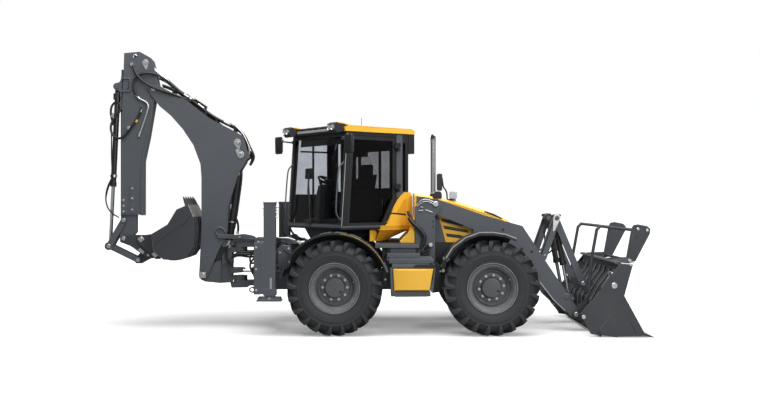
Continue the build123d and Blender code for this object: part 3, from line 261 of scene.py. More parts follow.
CHARCOAL = machine_paint("charcoal_paint", (0.079, 0.088, 0.101), 0.46, (0.26, 0.275, 0.29), 0.5,
    0.07)
BUCKET_GREY = machine_paint("bucket_grey_paint", (0.036, 0.041, 0.048), 0.48, (0.3, 0.305, 0.31),
    0.6, 0.09)
YELLOW = machine_paint("yellow_paint", (0.9, 0.5, 0.042), 0.36, (0.98, 0.68, 0.25), 0.5, 0.06,
    coat=0.35)
# A darker copy of the yellow, used as painted shade in the tail's pocket and on its underside.
SHADED_YELLOW = machine_paint("shaded_yellow_paint", (0.74, 0.36, 0.026), 0.4, (0.95, 0.6, 0.2), 0.4,
    0.06, coat=0.3)
LIGHT_GREY = machine_paint("light_grey_paint", (0.32, 0.33, 0.34), 0.4, (0.5, 0.5, 0.5), 0.4, 0.1)
RIM_GREY = machine_paint("rim_grey_paint", (0.085, 0.092, 0.101), 0.38, (0.42, 0.43, 0.44), 0.6,
    0.1, clean_height=0.4)
BLACK_PAINT = machine_paint("black_ram_paint", (0.014, 0.0145, 0.016), 0.3, (0.12, 0.12, 0.125),
    0.35, 0.05, coat=0.3)
BLACK_PLASTIC = moulded("black_plastic", (0.0135, 0.0145, 0.016), 0.46)
FENDER_PLASTIC = moulded("fender_plastic", (0.018, 0.0195, 0.022), 0.4, scale=420.0, strength=0.15)
RUBBER = moulded("tyre_rubber", (0.024, 0.026, 0.029), 0.6, scale=150.0, strength=0.35, drift=0.25)
HOSE_RUBBER = moulded("hose_rubber", (0.012, 0.012, 0.013), 0.42, scale=600.0, strength=0.3)
CHROME = bare_metal("chrome_rod", (0.84, 0.85, 0.87), 0.08, 0.1)
ZINC = bare_metal("zinc_plate", (0.7, 0.71, 0.72), 0.28, 0.2)
WORN_STEEL = bare_metal("worn_steel", (0.42, 0.41, 0.4), 0.36, 0.3)
WHITE_PLASTIC = moulded("white_plastic", (0.62, 0.63, 0.64), 0.42, drift=0.08)
LAMP_GLASS = moulded("lamp_glass", (0.5, 0.52, 0.54), 0.16, scale=90.0, strength=0.2, drift=0.2,
    coat=0.8)
print("finishes:", len(bpy.data.materials))

# %% [markdown]
# ## Tinted glass
# Cab glass is a thin grey pane. Light crosses both of its faces, so each carries half
# of the tint. A mirror is mixed in by how steeply one looks at it, and only on the
# outer face: from inside the pane the same law would turn it wholly into a mirror.

# %% Cab glass
def cab_glass(name, tint):
    """A dark pane: a transparent tint, mirrored more the flatter one looks along it."""
    material, tree, mirror, place = finish(name, 0.03)
    mirror.inputs["Base Color"].default_value = (0.5, 0.5, 0.5, 1.0)
    mirror.inputs["Metallic"].default_value = 1.0
    haze = add_node(tree, "ShaderNodeTexNoise", [("Vector", place), ("Scale", 2.2),
        ("Detail", 3.0)])
    colour = blend_colour(tree, haze.outputs["Fac"], shade(tint, 0.9), shade(tint, 1.1))
    clear = add_node(tree, "ShaderNodeBsdfTransparent", [("Color", colour)])
    smear = add_node(tree, "ShaderNodeMapRange", [("Value", haze.outputs["Fac"]), ("To Min", 0.02),
        ("To Max", 0.08)])
    tree.links.new(smear.outputs[0], mirror.inputs["Roughness"])
    tilt = add_node(tree, "ShaderNodeFresnel", [("IOR", 1.45)])
    inside = add_node(tree, "ShaderNodeNewGeometry")
    outside = add_node(tree, "ShaderNodeMath", [(0, 1.0), (1, inside.outputs["Backfacing"])],
        operation="SUBTRACT")
    shine = add_node(tree, "ShaderNodeMath", [(0, tilt.outputs[0]), (1, outside.outputs[0])],
        operation="MULTIPLY")
    pane = add_node(tree, "ShaderNodeMixShader", [(0, shine.outputs[0]), (1, clear.outputs[0]),
        (2, mirror.outputs[0])])
    tree.links.new(pane.outputs[0], tree.nodes["Material Output"].inputs["Surface"])
    return material


CLEAR_GLASS = cab_glass("tinted_glass", (0.8, 0.81, 0.83))
DOOR_GLASS = cab_glass("dark_door_glass", (0.5, 0.505, 0.51))

# %% [markdown]
# ## Dress the solids
# The solids keep their shape. Each gets its finish.

# %% Give each node its finish
def nodes_like(start="", end=""):
    return [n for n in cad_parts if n.startswith(start) and n.endswith(end)]


NODE_FINISH = [
    (YELLOW, ["cab_roof", "tail_panel", "bonnet"]),
    (BUCKET_GREY, ["digging_bucket", "quick_coupler", "bucket_back", "clam", "pallet_forks"]),
    (BLACK_PLASTIC, ["cab_base", "cab_fittings", "cab_door", "cab_frame", "seat"]),
    (FENDER_PLASTIC, ["rear_fenders"]),
    (RUBBER, nodes_like("tyre_")),
    (RIM_GREY, nodes_like("rim_")),
    (BLACK_PAINT, nodes_like(end="_ram_barrel")),
    (CHROME, nodes_like(end="_rod") + ["bonnet_fittings"]),
    (CLEAR_GLASS, ["cab_glass"]),
    (DOOR_GLASS, ["door_glass"]),
]
given = {node: paint for paint, nodes in NODE_FINISH for node in nodes}
for name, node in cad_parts.items():
    node.data.materials.clear()
    node.data.materials.append(given.get(name, CHARCOAL))
print("dressed:", len(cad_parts))

# %% [markdown]
# ## Helpers for pieces
# Most of a machine is cut plate, turned round parts and bent pipe. One helper for each
# keeps every piece real mesh: a plate is an outline pushed sideways with a small
# bevel, a turned part spins a profile, and a pipe is a smooth curve with thickness.

# %% Plate, turned part, pipe and bolt
def soften(piece, width, segments=2):
    """A narrow bevel on sharp edges, with its normals kept flat on the faces."""
    edge = piece.modifiers.new("soft edge", "BEVEL")
    edge.width, edge.segments = width, segments
    edge.limit_method, edge.angle_limit = "ANGLE", radians(35)
    edge.harden_normals = True
    piece.data.shade_smooth()


def place_piece(name, mesh, paint, body, matrix=None):
    """Put a piece in the scene and let it ride on a body."""
    mesh.materials.append(paint)
    piece = bpy.data.objects.new(name, mesh)
    scene.collection.objects.link(piece)
    if matrix is not None:
        piece.matrix_world = matrix
    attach(piece, body)
    return piece


def mesh_of(name, corners, faces):
    mesh = bpy.data.meshes.new(name)
    mesh.from_pydata(corners, [], faces)
    mesh.update()
    return mesh


def closed_up(mesh):
    """Weld corners that meet, and turn every face outwards."""
    shell = bmesh.new()
    shell.from_mesh(mesh)
    bmesh.ops.remove_doubles(shell, verts=shell.verts, dist=1e-06)
    bmesh.ops.recalc_face_normals(shell, faces=shell.faces)
    shell.to_mesh(mesh)
    shell.free()
    return mesh


def slabs_mesh(name, slabs):
    """One mesh from several plates; each is (outline of (x, z), y_low, y_high)."""
    corners, faces = [], []
    for outline, y_low, y_high in slabs:
        first, count = len(corners), len(outline)
        turn = sum(a[0] * b[1] - b[0] * a[1] for a, b in zip(outline, outline[1:] + outline[:1]))
        ring = outline if turn > 0 else outline[::-1]
        corners += [(x, y_low, z) for x, z in ring] + [(x, y_high, z) for x, z in ring]
        faces.append(tuple(range(first, first + count)))
        faces.append(tuple(range(first + 2 * count - 1, first + count - 1, -1)))
        for i in range(count):
            j = (i + 1) % count
            faces.append((first + j, first + i, first + count + i, first + count + j))
    return mesh_of(name, corners, faces)


def plates(name, slabs, paint, body, bevel=0.004, matrix=None):
    """Cut plates with softened edges, all in one piece."""
    piece = place_piece(name, slabs_mesh(name, slabs), paint, body, matrix)
    soften(piece, bevel)
    return piece


def mirrored(outline, y_in, y_out):
    """The same plate on both sides of the machine."""
    return [(outline, y_in, y_out), (outline, -y_out, -y_in)]


def rect(x_low, x_high, z_low, z_high):
    return [(x_low, z_low), (x_high, z_low), (x_high, z_high), (x_low, z_high)]


def box_plate(x, y, z):
    """One slab for plates(), given by its reach in X, Y and Z."""
    return (rect(*x, *z), *y)


def across(outline, half):
    """One plate that reaches the same distance to both sides."""
    return [(outline, -half, half)]


def on_side(outline, side, y_in, y_out):
    """One plate on the right, side -1, or on the left, side 1."""
    return [(outline, *sorted((side * y_in, side * y_out)))]


def spin_mesh(name, profile, steps=48):
    """Turn a profile of (radius, height) about local Z."""
    corners, faces = [], []
    count = len(profile)
    for k in range(steps):
        a = 2 * pi * k / steps
        corners += [(r * cos(a), r * sin(a), h) for r, h in profile]
    for k in range(steps):
        here, there = k * count, (k + 1) % steps * count
        for i in range(count - 1):
            faces.append((here + i, there + i, there + i + 1, here + i + 1))
    return closed_up(mesh_of(name, corners, faces))


def turned(name, profile, paint, body, matrix, steps=48):
    """A turned part, smooth but for its real corners."""
    mesh = spin_mesh(name, profile, steps)
    piece = place_piece(name, mesh, paint, body, matrix)
    mesh.shade_smooth()
    mesh.set_sharp_from_angle(angle=radians(28))
    return piece


def pipe(name, routes, radius, paint, body, matrix=None, order=3):
    """Smooth bent pipes; each route is a list of points."""
    line = bpy.data.curves.new(name, "CURVE")
    line.dimensions, line.resolution_u = "3D", 6
    line.bevel_depth, line.bevel_resolution, line.use_fill_caps = radius, 3, True
    for route in routes:
        spline = line.splines.new("NURBS")
        spline.points.add(len(route) - 1)
        for point, spot in zip(spline.points, route):
            point.co = (*spot, 1.0)
        spline.order_u, spline.use_endpoint_u = order, True
    return place_piece(name, line, paint, body, matrix)


def bolts(name, spots, radius, height, paint, body, matrix=None, facing=(0, -1, 0), washer=1.5):
    """Hexagon bolt heads on washers, all in one mesh, at points and facing one way."""
    corners, faces = [], []
    turn = Vector(facing).to_track_quat("Z", "Y").to_matrix()
    for spot in spots:
        for sides, r, low, high in ((16, radius * washer, 0.0, height * 0.25),
            (6, radius, height * 0.25, height)):
            first = len(corners)
            for h, shrink in ((low, 1.0), (high * 0.86 if sides == 6 else high, 1.0), (high, 0.86)):
                for k in range(sides):
                    a = 2 * pi * k / sides
                    corners.append(Vector(spot) + turn @ Vector((r * shrink * cos(a),
                        r * shrink * sin(a), h)))
            for layer in (0, 1):
                for k in range(sides):
                    a, b = first + layer * sides + k, first + layer * sides + (k + 1) % sides
                    faces.append((a, b, b + sides, a + sides))
            faces.append(tuple(range(first + 2 * sides, first + 3 * sides)))
    return place_piece(name, mesh_of(name, corners, faces), paint, body, matrix)


def teardrop(at, tip, radius, nose=0.3):
    """A pin keeper plate: round about the pin, drawn out to a bolt."""
    away = atan2(tip[1] - at[1], tip[0] - at[0])
    ring = [(at[0] + radius * cos(away + radians(a)), at[1] + radius * sin(away + radians(a)))
        for a in range(66, 300, 12)]
    return ring + [(tip[0] + radius * nose * cos(away + radians(a)), tip[1]
        + radius * nose * sin(away + radians(a))) for a in (-66, -33, 0, 33, 66)]


PIN_CAP = [(0.0, 0.01), (0.28, 0.01), (0.32, 0.006), (0.38, 0.006), (0.42, 0.01), (0.86, 0.01),
    (1.0, 0.004), (1.0, 0.0)]


def pin_caps(name, spots, radius, paint, body, thick=1.0):
    """Round pin ends with a turned face; each spot is (x, y, z) and faces outwards."""
    unit = spin_mesh(name, [(r * radius, h * thick) for r, h in PIN_CAP], 28)
    corners, faces = [], []
    for x, y, z in spots:
        first, side = len(corners), 1 if y > 0 else -1
        corners += [(x + v.co.x, y + side * v.co.z, z + v.co.y) for v in unit.vertices]
        for face in unit.polygons:
            ring = tuple(first + i for i in face.vertices)
            faces.append(ring if side < 0 else ring[::-1])
    piece = place_piece(name, mesh_of(name, corners, faces), paint, body)
    piece.data.shade_smooth()
    piece.data.set_sharp_from_angle(angle=radians(30))
    return piece


def both(spots):
    """The same spots on the right and on the left."""
    return [(x, side * y, z) for side in (-1, 1) for x, y, z in spots]


def band(centre, r_in, r_out, a_from, a_to, steps=28):
    """A curved strip of (x, z) corners between two radii, in degrees above +X."""
    turn = [radians(a_from + (a_to - a_from) * k / steps) for k in range(steps + 1)]
    return [(centre[0] + r_out * cos(a), centre[1] + r_out * sin(a))
        for a in turn] + [(centre[0] + r_in * cos(a), centre[1] + r_in * sin(a))
        for a in reversed(turn)]


def strip(line, width):
    """A strip of even width along a polyline of (x, z) corners."""
    left, right = [], []
    for k, (x, z) in enumerate(line):
        a, b = line[max(k - 1, 0)], line[min(k + 1, len(line) - 1)]
        run = hypot(b[0] - a[0], b[1] - a[1])
        nx, nz = -(b[1] - a[1]) / run * width / 2, (b[0] - a[0]) / run * width / 2
        left.append((x + nx, z + nz))
        right.append((x - nx, z - nz))
    return left + right[::-1]


print("helpers ready")

# %% [markdown]
# ## Tyres
# An 18-inch-wide farm-pattern tyre: a smooth carcass with two moulded rings on the
# wall, and lugs that run from the middle of the tread, over the shoulder, and thin out
# on the wall. The carcass is turned; each lug is a loft of seven sections, repeated.

# %% Tyre mesh
TYRE_HALF = [(0.35, 0.178), (0.358, 0.19), (0.372, 0.203), (0.384, 0.205), (0.389, 0.211),
    (0.395, 0.207), (0.43, 0.217), (0.47, 0.2235), (0.486, 0.2245), (0.49, 0.228), (0.494, 0.2245),
    (0.52, 0.224), (0.54, 0.2225), (0.545, 0.227), (0.552, 0.227), (0.557, 0.2185), (0.585, 0.209),
    (0.612, 0.194), (0.637, 0.17), (0.655, 0.138), (0.665, 0.095), (0.669, 0.045), (0.67, 0.0)]
# Along the tread, then radius and distance from the middle at the foot and at the top,
# then half the width at the foot and at the top.
LUG_PATH = [
    (-0.078, 0.66, 0.002, 0.7085, 0.004, 0.031, 0.02),
    (-0.034, 0.66, 0.06, 0.709, 0.06, 0.031, 0.022),
    (0.012, 0.652, 0.118, 0.708, 0.12, 0.033, 0.024),
    (0.05, 0.628, 0.165, 0.704, 0.178, 0.036, 0.027),
    (0.074, 0.598, 0.196, 0.694, 0.216, 0.038, 0.029),
    (0.086, 0.57, 0.21, 0.64, 0.2295, 0.038, 0.027),
    (0.09, 0.548, 0.219, 0.566, 0.2285, 0.034, 0.019),
]
LUG_COUNT = 21
TREAD_R = 0.69


def tyre_mesh():
    """The carcass with its lugs, which are set half a step apart on the two sides."""
    profile = [(r, h) for r, h in TYRE_HALF] + [(r, -h) for r, h in TYRE_HALF[-2::-1]]
    mesh = spin_mesh("tyre", profile, 126)
    body = bmesh.new()
    body.from_mesh(mesh)
    for side in (1, -1):
        for k in range(LUG_COUNT):
            turn = 2 * pi * (k + (0.0 if side > 0 else 0.5)) / LUG_COUNT
            rings = []
            for u, base_r, base_v, top_r, top_v, base_w, top_w in LUG_PATH:
                ring = []
                for r, v, w in ((base_r, base_v, -base_w), (top_r, top_v, -top_w),
                    (top_r, top_v, top_w), (base_r, base_v, base_w)):
                    a = turn + (u + w) / TREAD_R
                    ring.append(body.verts.new((r * cos(a), r * sin(a), side * v)))
                rings.append(ring)
            for ring, after in zip(rings, rings[1:]):
                for i in range(3):
                    body.faces.new((ring[i], ring[i + 1], after[i + 1], after[i]))
            body.faces.new(rings[0])
            body.faces.new(rings[-1])
    bmesh.ops.recalc_face_normals(body, faces=body.faces)
    body.to_mesh(mesh)
    body.free()
    mesh.shade_smooth()
    mesh.set_sharp_from_angle(angle=radians(32))
    return mesh


FRONT_AXLE, REAR_AXLE, HUB_HEIGHT, TRACK_HALF = 1.825, -0.5, 0.71, 0.945
WHEELS = {f"{end}_{hand}": (x, side * TRACK_HALF) for end, x in (("front", FRONT_AXLE),
    ("rear", REAR_AXLE)) for hand, side in (("right", -1), ("left", 1))}


def wheel_place(label, turn=0.0):
    """Local Z points out of the machine."""
    x, y = WHEELS[label]
    return Matrix.Translation((x, y, HUB_HEIGHT)) @ Matrix.Rotation(radians(90 if y < 0 else -90),
        4, "X") @ Matrix.Rotation(radians(turn), 4, "Z")


tyre = tyre_mesh()
tyre.materials.append(RUBBER)
for label in WHEELS:
    piece = bpy.data.objects.new(f"lugged_tyre_{label}", tyre)
    scene.collection.objects.link(piece)
    piece.matrix_world = wheel_place(label)
    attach(piece, f"wheel_{label}")
    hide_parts(f"tyre_{label}")
print("tyre faces:", len(tyre.polygons))

# %% [markdown]
# ## Wheel discs
# The rim is one rolled section: outer flange, steps down into the well, then a
# flat disc with ten studs round the planetary hub. It is turned from one profile, and
# the studs, hub plug and valve are added as the small parts they are. Thin pale rings
# on the step edges are a painted highlight.

# %% Rims, hubs and studs
RIM_PROFILE = [(0.353, 0.12), (0.362, 0.176), (0.371, 0.19), (0.374, 0.199), (0.37, 0.205),
    (0.361, 0.205), (0.354, 0.198), (0.35, 0.184), (0.337, 0.18), (0.334, 0.16), (0.324, 0.156),
    (0.321, 0.128), (0.311, 0.124), (0.308, 0.094), (0.298, 0.088), (0.293, 0.05), (0.284, 0.04),
    (0.266, 0.04), (0.262, 0.052), (0.254, 0.058), (0.244, 0.056), (0.239, 0.046), (0.233, 0.028),
    (0.222, 0.026), (0.217, 0.04), (0.211, 0.043), (0.158, 0.043), (0.154, 0.03), (0.147, 0.03),
    (0.145, 0.094), (0.14, 0.102), (0.132, 0.104), (0.0, 0.104)]
RIM_BACK = [(0.353, 0.13), (0.353, -0.19), (0.372, -0.195), (0.374, -0.202), (0.366, -0.205),
    (0.345, -0.195), (0.34, -0.02), (0.15, 0.0), (0.0, 0.0)]
STUD_CIRCLE, DISC_FACE = 0.184, 0.043
RING_EDGES = [(0.3725, 0.2035), (0.352, 0.1865), (0.3365, 0.1795), (0.3235, 0.1555),
    (0.3105, 0.1235), (0.2975, 0.0875)]


def ring_mesh(name):
    """Thin pale rings on the rolled edges of the rim's steps: a painted highlight."""
    corners, faces = [], []
    sides, steps, wire = 6, 96, 0.0026
    for r, h in RING_EDGES:
        first = len(corners)
        for k in range(steps):
            turn = 2 * pi * k / steps
            for i in range(sides):
                a = 2 * pi * i / sides
                reach = r + wire * cos(a)
                corners.append((reach * cos(turn), reach * sin(turn), h + wire * sin(a)))
        for k in range(steps):
            for i in range(sides):
                here, there, j = (first + k * sides, first + (k + 1) % steps * sides,
                    (i + 1) % sides)
                faces.append((here + i, there + i, there + j, here + j))
    mesh = mesh_of(name, corners, faces)
    mesh.shade_smooth()
    return mesh


for label in WHEELS:
    # Pale rings on the step edges: painted highlight.
    place_piece(f"rim_highlight_rings_{label}", ring_mesh(f"rim_highlight_rings_{label}"), LIGHT_GREY,
        f"wheel_{label}", wheel_place(label))
    rim = turned(f"wheel_disc_{label}", RIM_PROFILE, RIM_GREY, f"wheel_{label}",
        wheel_place(label), steps=96)
    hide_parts(f"rim_{label}")
    turned(f"wheel_back_{label}", RIM_BACK, RIM_GREY, f"wheel_{label}", wheel_place(label),
        steps=72)
    place = wheel_place(label, 8.0 if label.startswith("front") else 0.0)
    ring = [(STUD_CIRCLE * cos(radians(36 * k)), STUD_CIRCLE * sin(radians(36 * k)), DISC_FACE)
        for k in range(10)]
    bolts(f"studs_{label}", ring, 0.0155, 0.026, ZINC, f"wheel_{label}", place, facing=(0, 0, 1),
        washer=1.35)
    bolts(f"hub_plug_{label}", [(0.088, -0.062, 0.104)], 0.014, 0.008, BLACK_PAINT,
        f"wheel_{label}", place, facing=(0, 0, 1))
    turned(f"valve_{label}", [(0.0, 0.0), (0.013, 0.0), (0.013, 0.022), (0.008, 0.03),
        (0.008, 0.05), (0.0, 0.05)], ZINC, f"wheel_{label}", place @ Matrix.Translation((0.278,
        0.08, 0.04)), steps=12)
print("wheels:", len(WHEELS))

# %% [markdown]
# ## Backhoe pins and keeper plates
# Every hinge of the digging arm ends in a zinc-plated pin face. Some have a teardrop
# keeper plate that stops the pin from turning, and the bucket's have square ones.

# %% Pins of the backhoe
def keeper(name, spots, paint, body, y_in, y_out, bevel=0.003):
    return plates(name, [entry for at, tip, r in spots for entry in mirrored(teardrop(at, tip, r),
        y_in, y_out)], paint, body, bevel)


def square(at, half, turn):
    a = radians(turn)
    return [(at[0] + half * sqrt(2) * cos(a + radians(45 + 90 * k)), at[1]
        + half * sqrt(2) * sin(a + radians(45 + 90 * k))) for k in range(4)]


# Half widths of the plates that pins and keepers lie on.
STICK_FACE, BOOM_FACE, SLIDE_FACE, COUPLER_FACE, HOE_FACE = 0.088, 0.122, 0.106, 0.134, 0.399
STICK_HEAD = (-3.545, 4.182)
keeper("stick_head_keeper", [(STICK_HEAD, (-3.53, 4.085), 0.052)], ZINC, "stick", STICK_FACE,
    STICK_FACE + 0.012)
pin_caps("stick_head_pin", both([(STICK_HEAD[0], STICK_FACE + 0.012, STICK_HEAD[1])]), 0.028, ZINC,
    "stick")
pin_caps("stick_hose_pin", both([(-3.762, STICK_FACE, 4.156)]), 0.03, ZINC, "stick", thick=2.4)
keeper("knee_keepers", [((-2.085, 2.917), (-2.062, 2.815), 0.056),
    ((-2.03, 2.722), (-2.095, 2.79), 0.056)], ZINC, "boom", BOOM_FACE, BOOM_FACE + 0.012)
pin_caps("knee_pins", both([(-2.078, 0.134, 2.905), (-2.037, 0.134, 2.733)]), 0.03, ZINC, "boom")
plates("boom_tip_keeper", mirrored([(-3.45, 3.7), (-3.4, 3.68), (-3.355, 3.715), (-3.34, 3.79),
    (-3.375, 3.83), (-3.42, 3.81)], BOOM_FACE, BOOM_FACE + 0.008), CHARCOAL, "boom")
pin_caps("boom_tip_pin", both([(-3.412, 0.13, 3.762)]), 0.037, ZINC, "boom")
plates("boom_foot_keeper", mirrored(square((-2.627, 0.823), 0.046, 0), 0.136, 0.146), ZINC, "boom",
    0.004)
pin_caps("boom_foot_pin", both([(-2.627, 0.146, 0.823)]), 0.034, ZINC, "boom", thick=0.6)
pin_caps("rocker_pins", both([(-3.889, SLIDE_FACE, z) for z in (1.687, 1.398)]), 0.034, ZINC,
    "stick_slide")
pin_caps("rocker_end_pin", both([(-4.126, 0.1, 1.278)]), 0.034, ZINC, "bucket_rocker")
pin_caps("link_end_pin", both([(-3.671, 0.066, 1.055)]), 0.032, ZINC, "bucket_link")
plates("bucket_keepers", mirrored(square((-3.603, 1.39), 0.04, 42), COUPLER_FACE, COUPLER_FACE
    + 0.01) + mirrored(square((-3.377, 1.15), 0.04, 38), COUPLER_FACE, COUPLER_FACE + 0.01), ZINC,
    "digging_bucket", 0.004)
pin_caps("bucket_pins", both([(-3.603, 0.144, 1.39), (-3.377, 0.144, 1.15)]), 0.026, ZINC,
    "digging_bucket", thick=0.6)
print("backhoe pins placed")

# %% [markdown]
# ## Stick and boom plates
# The telescopic stick is a folded box. Wear-pad strips with rows of bolts sit on its
# lower end, a shackle frame on its back, and a folded flange runs down its front edge.

# %% Plates and bolts on the stick and boom
PAD_BOLTS = [(-3.889, (1.825, 1.915, 2.005)), (-3.753, (1.856, 2.033, 2.19))]   # x, heights
plates("stick_pad_strips", mirrored(rect(-3.928, -3.852, 1.8, 2.045), STICK_FACE, STICK_FACE
    + 0.009) + mirrored([(-3.79, 1.8), (-3.79, 2.235), (-3.775, 2.262), (-3.735, 2.262),
    (-3.715, 2.235), (-3.715, 1.8)], STICK_FACE, STICK_FACE + 0.009), CHARCOAL, "stick", 0.005)
for label, side in (("right", -1), ("left", 1)):
    spots = [(x, side * (STICK_FACE + 0.009), z) for x, heights in PAD_BOLTS for z in heights]
    bolts(f"stick_pad_bolts_{label}", spots, 0.013, 0.012, ZINC, "stick", facing=(0, side, 0))
plates("stick_flange", across([(-3.62, 1.765), (-3.585, 1.765), (-3.583, 2.62), (-3.5, 3.01),
    (-3.39, 3.66), (-3.408, 3.66), (-3.52, 3.01), (-3.605, 2.62)], 0.104), CHARCOAL, "stick", 0.003)
pipe("stick_shackle_frame", [[(-3.92, y, 3.93), (-3.82, y, 3.93), (-3.788, y, 3.93),
    (-3.788, y, 3.89), (-3.788, y, 3.77), (-3.788, y, 3.728), (-3.82, y, 3.728), (-3.92, y, 3.728)]
    for y in (-0.094, 0.094)], 0.013, CHARCOAL, "stick")
pipe("stick_shackle_slot", [[(-3.835, y, 3.89), (-3.812, y, 3.88), (-3.812, y, 3.77),
    (-3.835, y, 3.76)] for y in (-0.09, 0.09)], 0.006, BLACK_PAINT, "stick")
plates("stick_back_step", across([(-3.955, 3.44), (-3.955, 3.86), (-3.935, 3.99), (-3.935, 4.08),
    (-3.915, 4.08), (-3.915, 3.44)], 0.06), CHARCOAL, "stick", 0.004)
pipe("stick_hook", [[(-3.735, y, 4.255), (-3.735, y, 4.3), (-3.7, y, 4.315), (-3.68, y, 4.285)]
    for y in (-0.098,)], 0.011, ZINC, "stick")
plates("boom_weld_band", mirrored([(-2.664, 1.115), (-2.664, 1.14), (-2.415, 1.128),
    (-2.425, 1.104)], 0.1215, 0.1235), CHARCOAL, "boom", 0.001)
plates("boom_seam", mirrored([(-3.2, 3.5), (-3.205, 3.515), (-3.04, 3.64), (-3.03, 3.63)], 0.1215,
    0.1235), CHARCOAL, "boom", 0.001)
plates("boom_back_flange", across([(-2.33, 1.325), (-2.255, 1.51), (-2.242, 1.92), (-2.08, 2.44),
    (-1.96, 2.62), (-1.952, 2.612), (-2.066, 2.43), (-2.228, 1.916), (-2.24, 1.505),
    (-2.315, 1.315)], 0.128), CHARCOAL, "boom", 0.002)
print("stick and boom plates placed")

# %% [markdown]
# ## Hoses of the backhoe
# Rubber hoses carry oil up the boom, round the stick's pivot in a wide free loop, and
# down to the bucket ram. Each is a smooth curve through a few points; the loops stay
# outside the plates, and pale crimped ends show where a hose meets a pipe.

# %% Hoses, pipes and clamps on stick and boom
def crimps(name, ends, paint, body, radius=0.021):
    return pipe(name, [[a, b] for a, b in ends], radius, paint, body, order=2)


LOOP_Y = -0.125   # the free loops hang just outside the boom's plate
pipe("stick_loop_hoses", [[(-3.655, -0.11, 3.634), (-3.7, LOOP_Y, 3.7), (-3.73, LOOP_Y, 3.82),
    (-3.712, LOOP_Y, 3.92), (-3.63, LOOP_Y, 4.0), (-3.48, LOOP_Y, 4.02), (-3.34, -0.11, 3.99),
    (-3.18, -0.1, 3.89), (-3.02, -0.09, 3.74), (-2.9, -0.08, 3.64), (-2.78, -0.08, 3.58)],
    [(-3.735, -0.1, 4.14), (-3.715, -0.12, 4.06), (-3.66, -0.14, 3.96), (-3.55, -0.15, 3.86),
    (-3.42, -0.16, 3.785), (-3.26, -0.15, 3.73), (-3.08, -0.14, 3.675), (-2.94, -0.1, 3.62),
    (-2.82, -0.08, 3.57)], [(-3.655, 0.11, 3.634), (-3.73, 0.125, 3.82), (-3.63, 0.125, 4.0),
    (-3.34, 0.11, 3.99), (-3.02, 0.09, 3.74), (-2.78, 0.08, 3.58)]], 0.0185, HOSE_RUBBER, "boom",
    order=4)
pipe("stick_bent_pipe", [[(-3.64, -0.108, 3.612), (-3.585, -0.112, 3.585), (-3.52, -0.112, 3.555),
    (-3.492, -0.112, 3.5), (-3.503, -0.112, 3.43), (-3.55, -0.112, 3.28), (-3.6, -0.112, 3.13),
    (-3.628, -0.112, 3.06)]], 0.0145, ZINC, "stick", order=3)
crimps("stick_pipe_ends", [((-3.69, -0.11, 3.668), (-3.63, -0.11, 3.605)),
    ((-3.622, -0.112, 3.085), (-3.643, -0.112, 3.01)), ((-3.59, -0.105, 3.49),
    (-3.615, -0.11, 3.4)), ((-3.8, -0.11, 3.115), (-3.765, -0.11, 3.165)),
    ((-4.085, -0.07, 3.32), (-4.05, -0.07, 3.38))], ZINC, "stick")
pipe("stick_short_hoses", [[(-3.59, -0.108, 3.49), (-3.62, -0.115, 3.38), (-3.68, -0.118, 3.255),
    (-3.78, -0.118, 3.14), (-3.86, -0.118, 3.01), (-3.97, -0.11, 2.965), (-4.075, -0.09, 3.03),
    (-4.112, -0.07, 3.17), (-4.06, -0.06, 3.3), (-3.975, -0.05, 3.38), (-3.94, -0.04, 3.49),
    (-4.0, -0.03, 3.58), (-4.09, -0.02, 3.54), (-4.125, -0.02, 3.42), (-4.1, -0.02, 3.3),
    (-4.07, -0.02, 3.2)], [(-3.975, 0.02, 3.78), (-3.99, 0.02, 3.7), (-3.97, 0.02, 3.6),
    (-3.955, 0.02, 3.5)]], 0.0185, HOSE_RUBBER, "stick", order=4)
pipe("stick_hose_mark", [[(-3.667, -0.117, 3.278), (-3.69, -0.118, 3.238)]], 0.0198, YELLOW,
    "stick", order=2)
plates("stick_hose_clip", [box_plate((-3.825, -3.785), (-0.13, -0.088), (3.12, 3.175))], ZINC,
    "stick", 0.003)
pipe("bucket_ram_hoses", [[(-4.11, -0.02, 3.2), (-4.09, -0.045, 3.02), (-4.1, -0.05, 2.77),
    (-4.085, -0.05, 2.52), (-4.085, -0.04, 2.4)], [(-4.09, -0.04, 2.36), (-4.17, -0.04, 2.22),
    (-4.2, -0.04, 2.04), (-4.165, -0.04, 1.87), (-4.07, -0.05, 1.775), (-3.97, -0.06, 1.73)],
    [(-4.08, -0.04, 2.37), (-4.13, -0.05, 2.26), (-4.175, -0.05, 2.12), (-4.185, -0.05, 2.02)]],
    0.0105, HOSE_RUBBER, "stick_slide", order=4)
turned("bucket_ram_band", [(0.046, -0.02), (0.054, -0.02), (0.054, 0.02), (0.046, 0.02)], ZINC,
    "bucket_ram_barrel", Matrix.Translation((-4.073, 0, 2.39)), steps=32)
plates("bucket_ram_port", [box_plate((-4.1, -4.06), (-0.075, -0.04), (2.37, 2.41)),
    box_plate((-4.06, -4.0), (-0.07, 0.07), (3.6, 3.7))], BLACK_PAINT, "bucket_ram_barrel", 0.004)
for k, (y, up) in enumerate(((-0.085, 0.03), (-0.045, 0.012), (-0.01, 0.036), (0.03, 0.018),
    (0.07, 0.03))):
    pipe(f"boom_top_hose_{k}", [[(-3.28, y, 3.8 + up), (-3.14, y, 3.755 + up),
        (-2.93, y, 3.64 + up), (-2.7, y, 3.475 + up), (-2.52, y, 3.33 + up), (-2.36, y, 3.24 + up),
        (-2.2, y, 3.165 + up), (-2.05, y, 3.085 + up), (-1.965, y, 2.99 + up * 0.4),
        (-1.915, y, 2.86), (-1.873 + up, y, 2.74), (-1.862 + up, y * 0.6, 2.66),
        (-1.9, y * 0.5, 2.56)]], 0.0175 if k % 2 else 0.0145, HOSE_RUBBER, "boom", order=4)
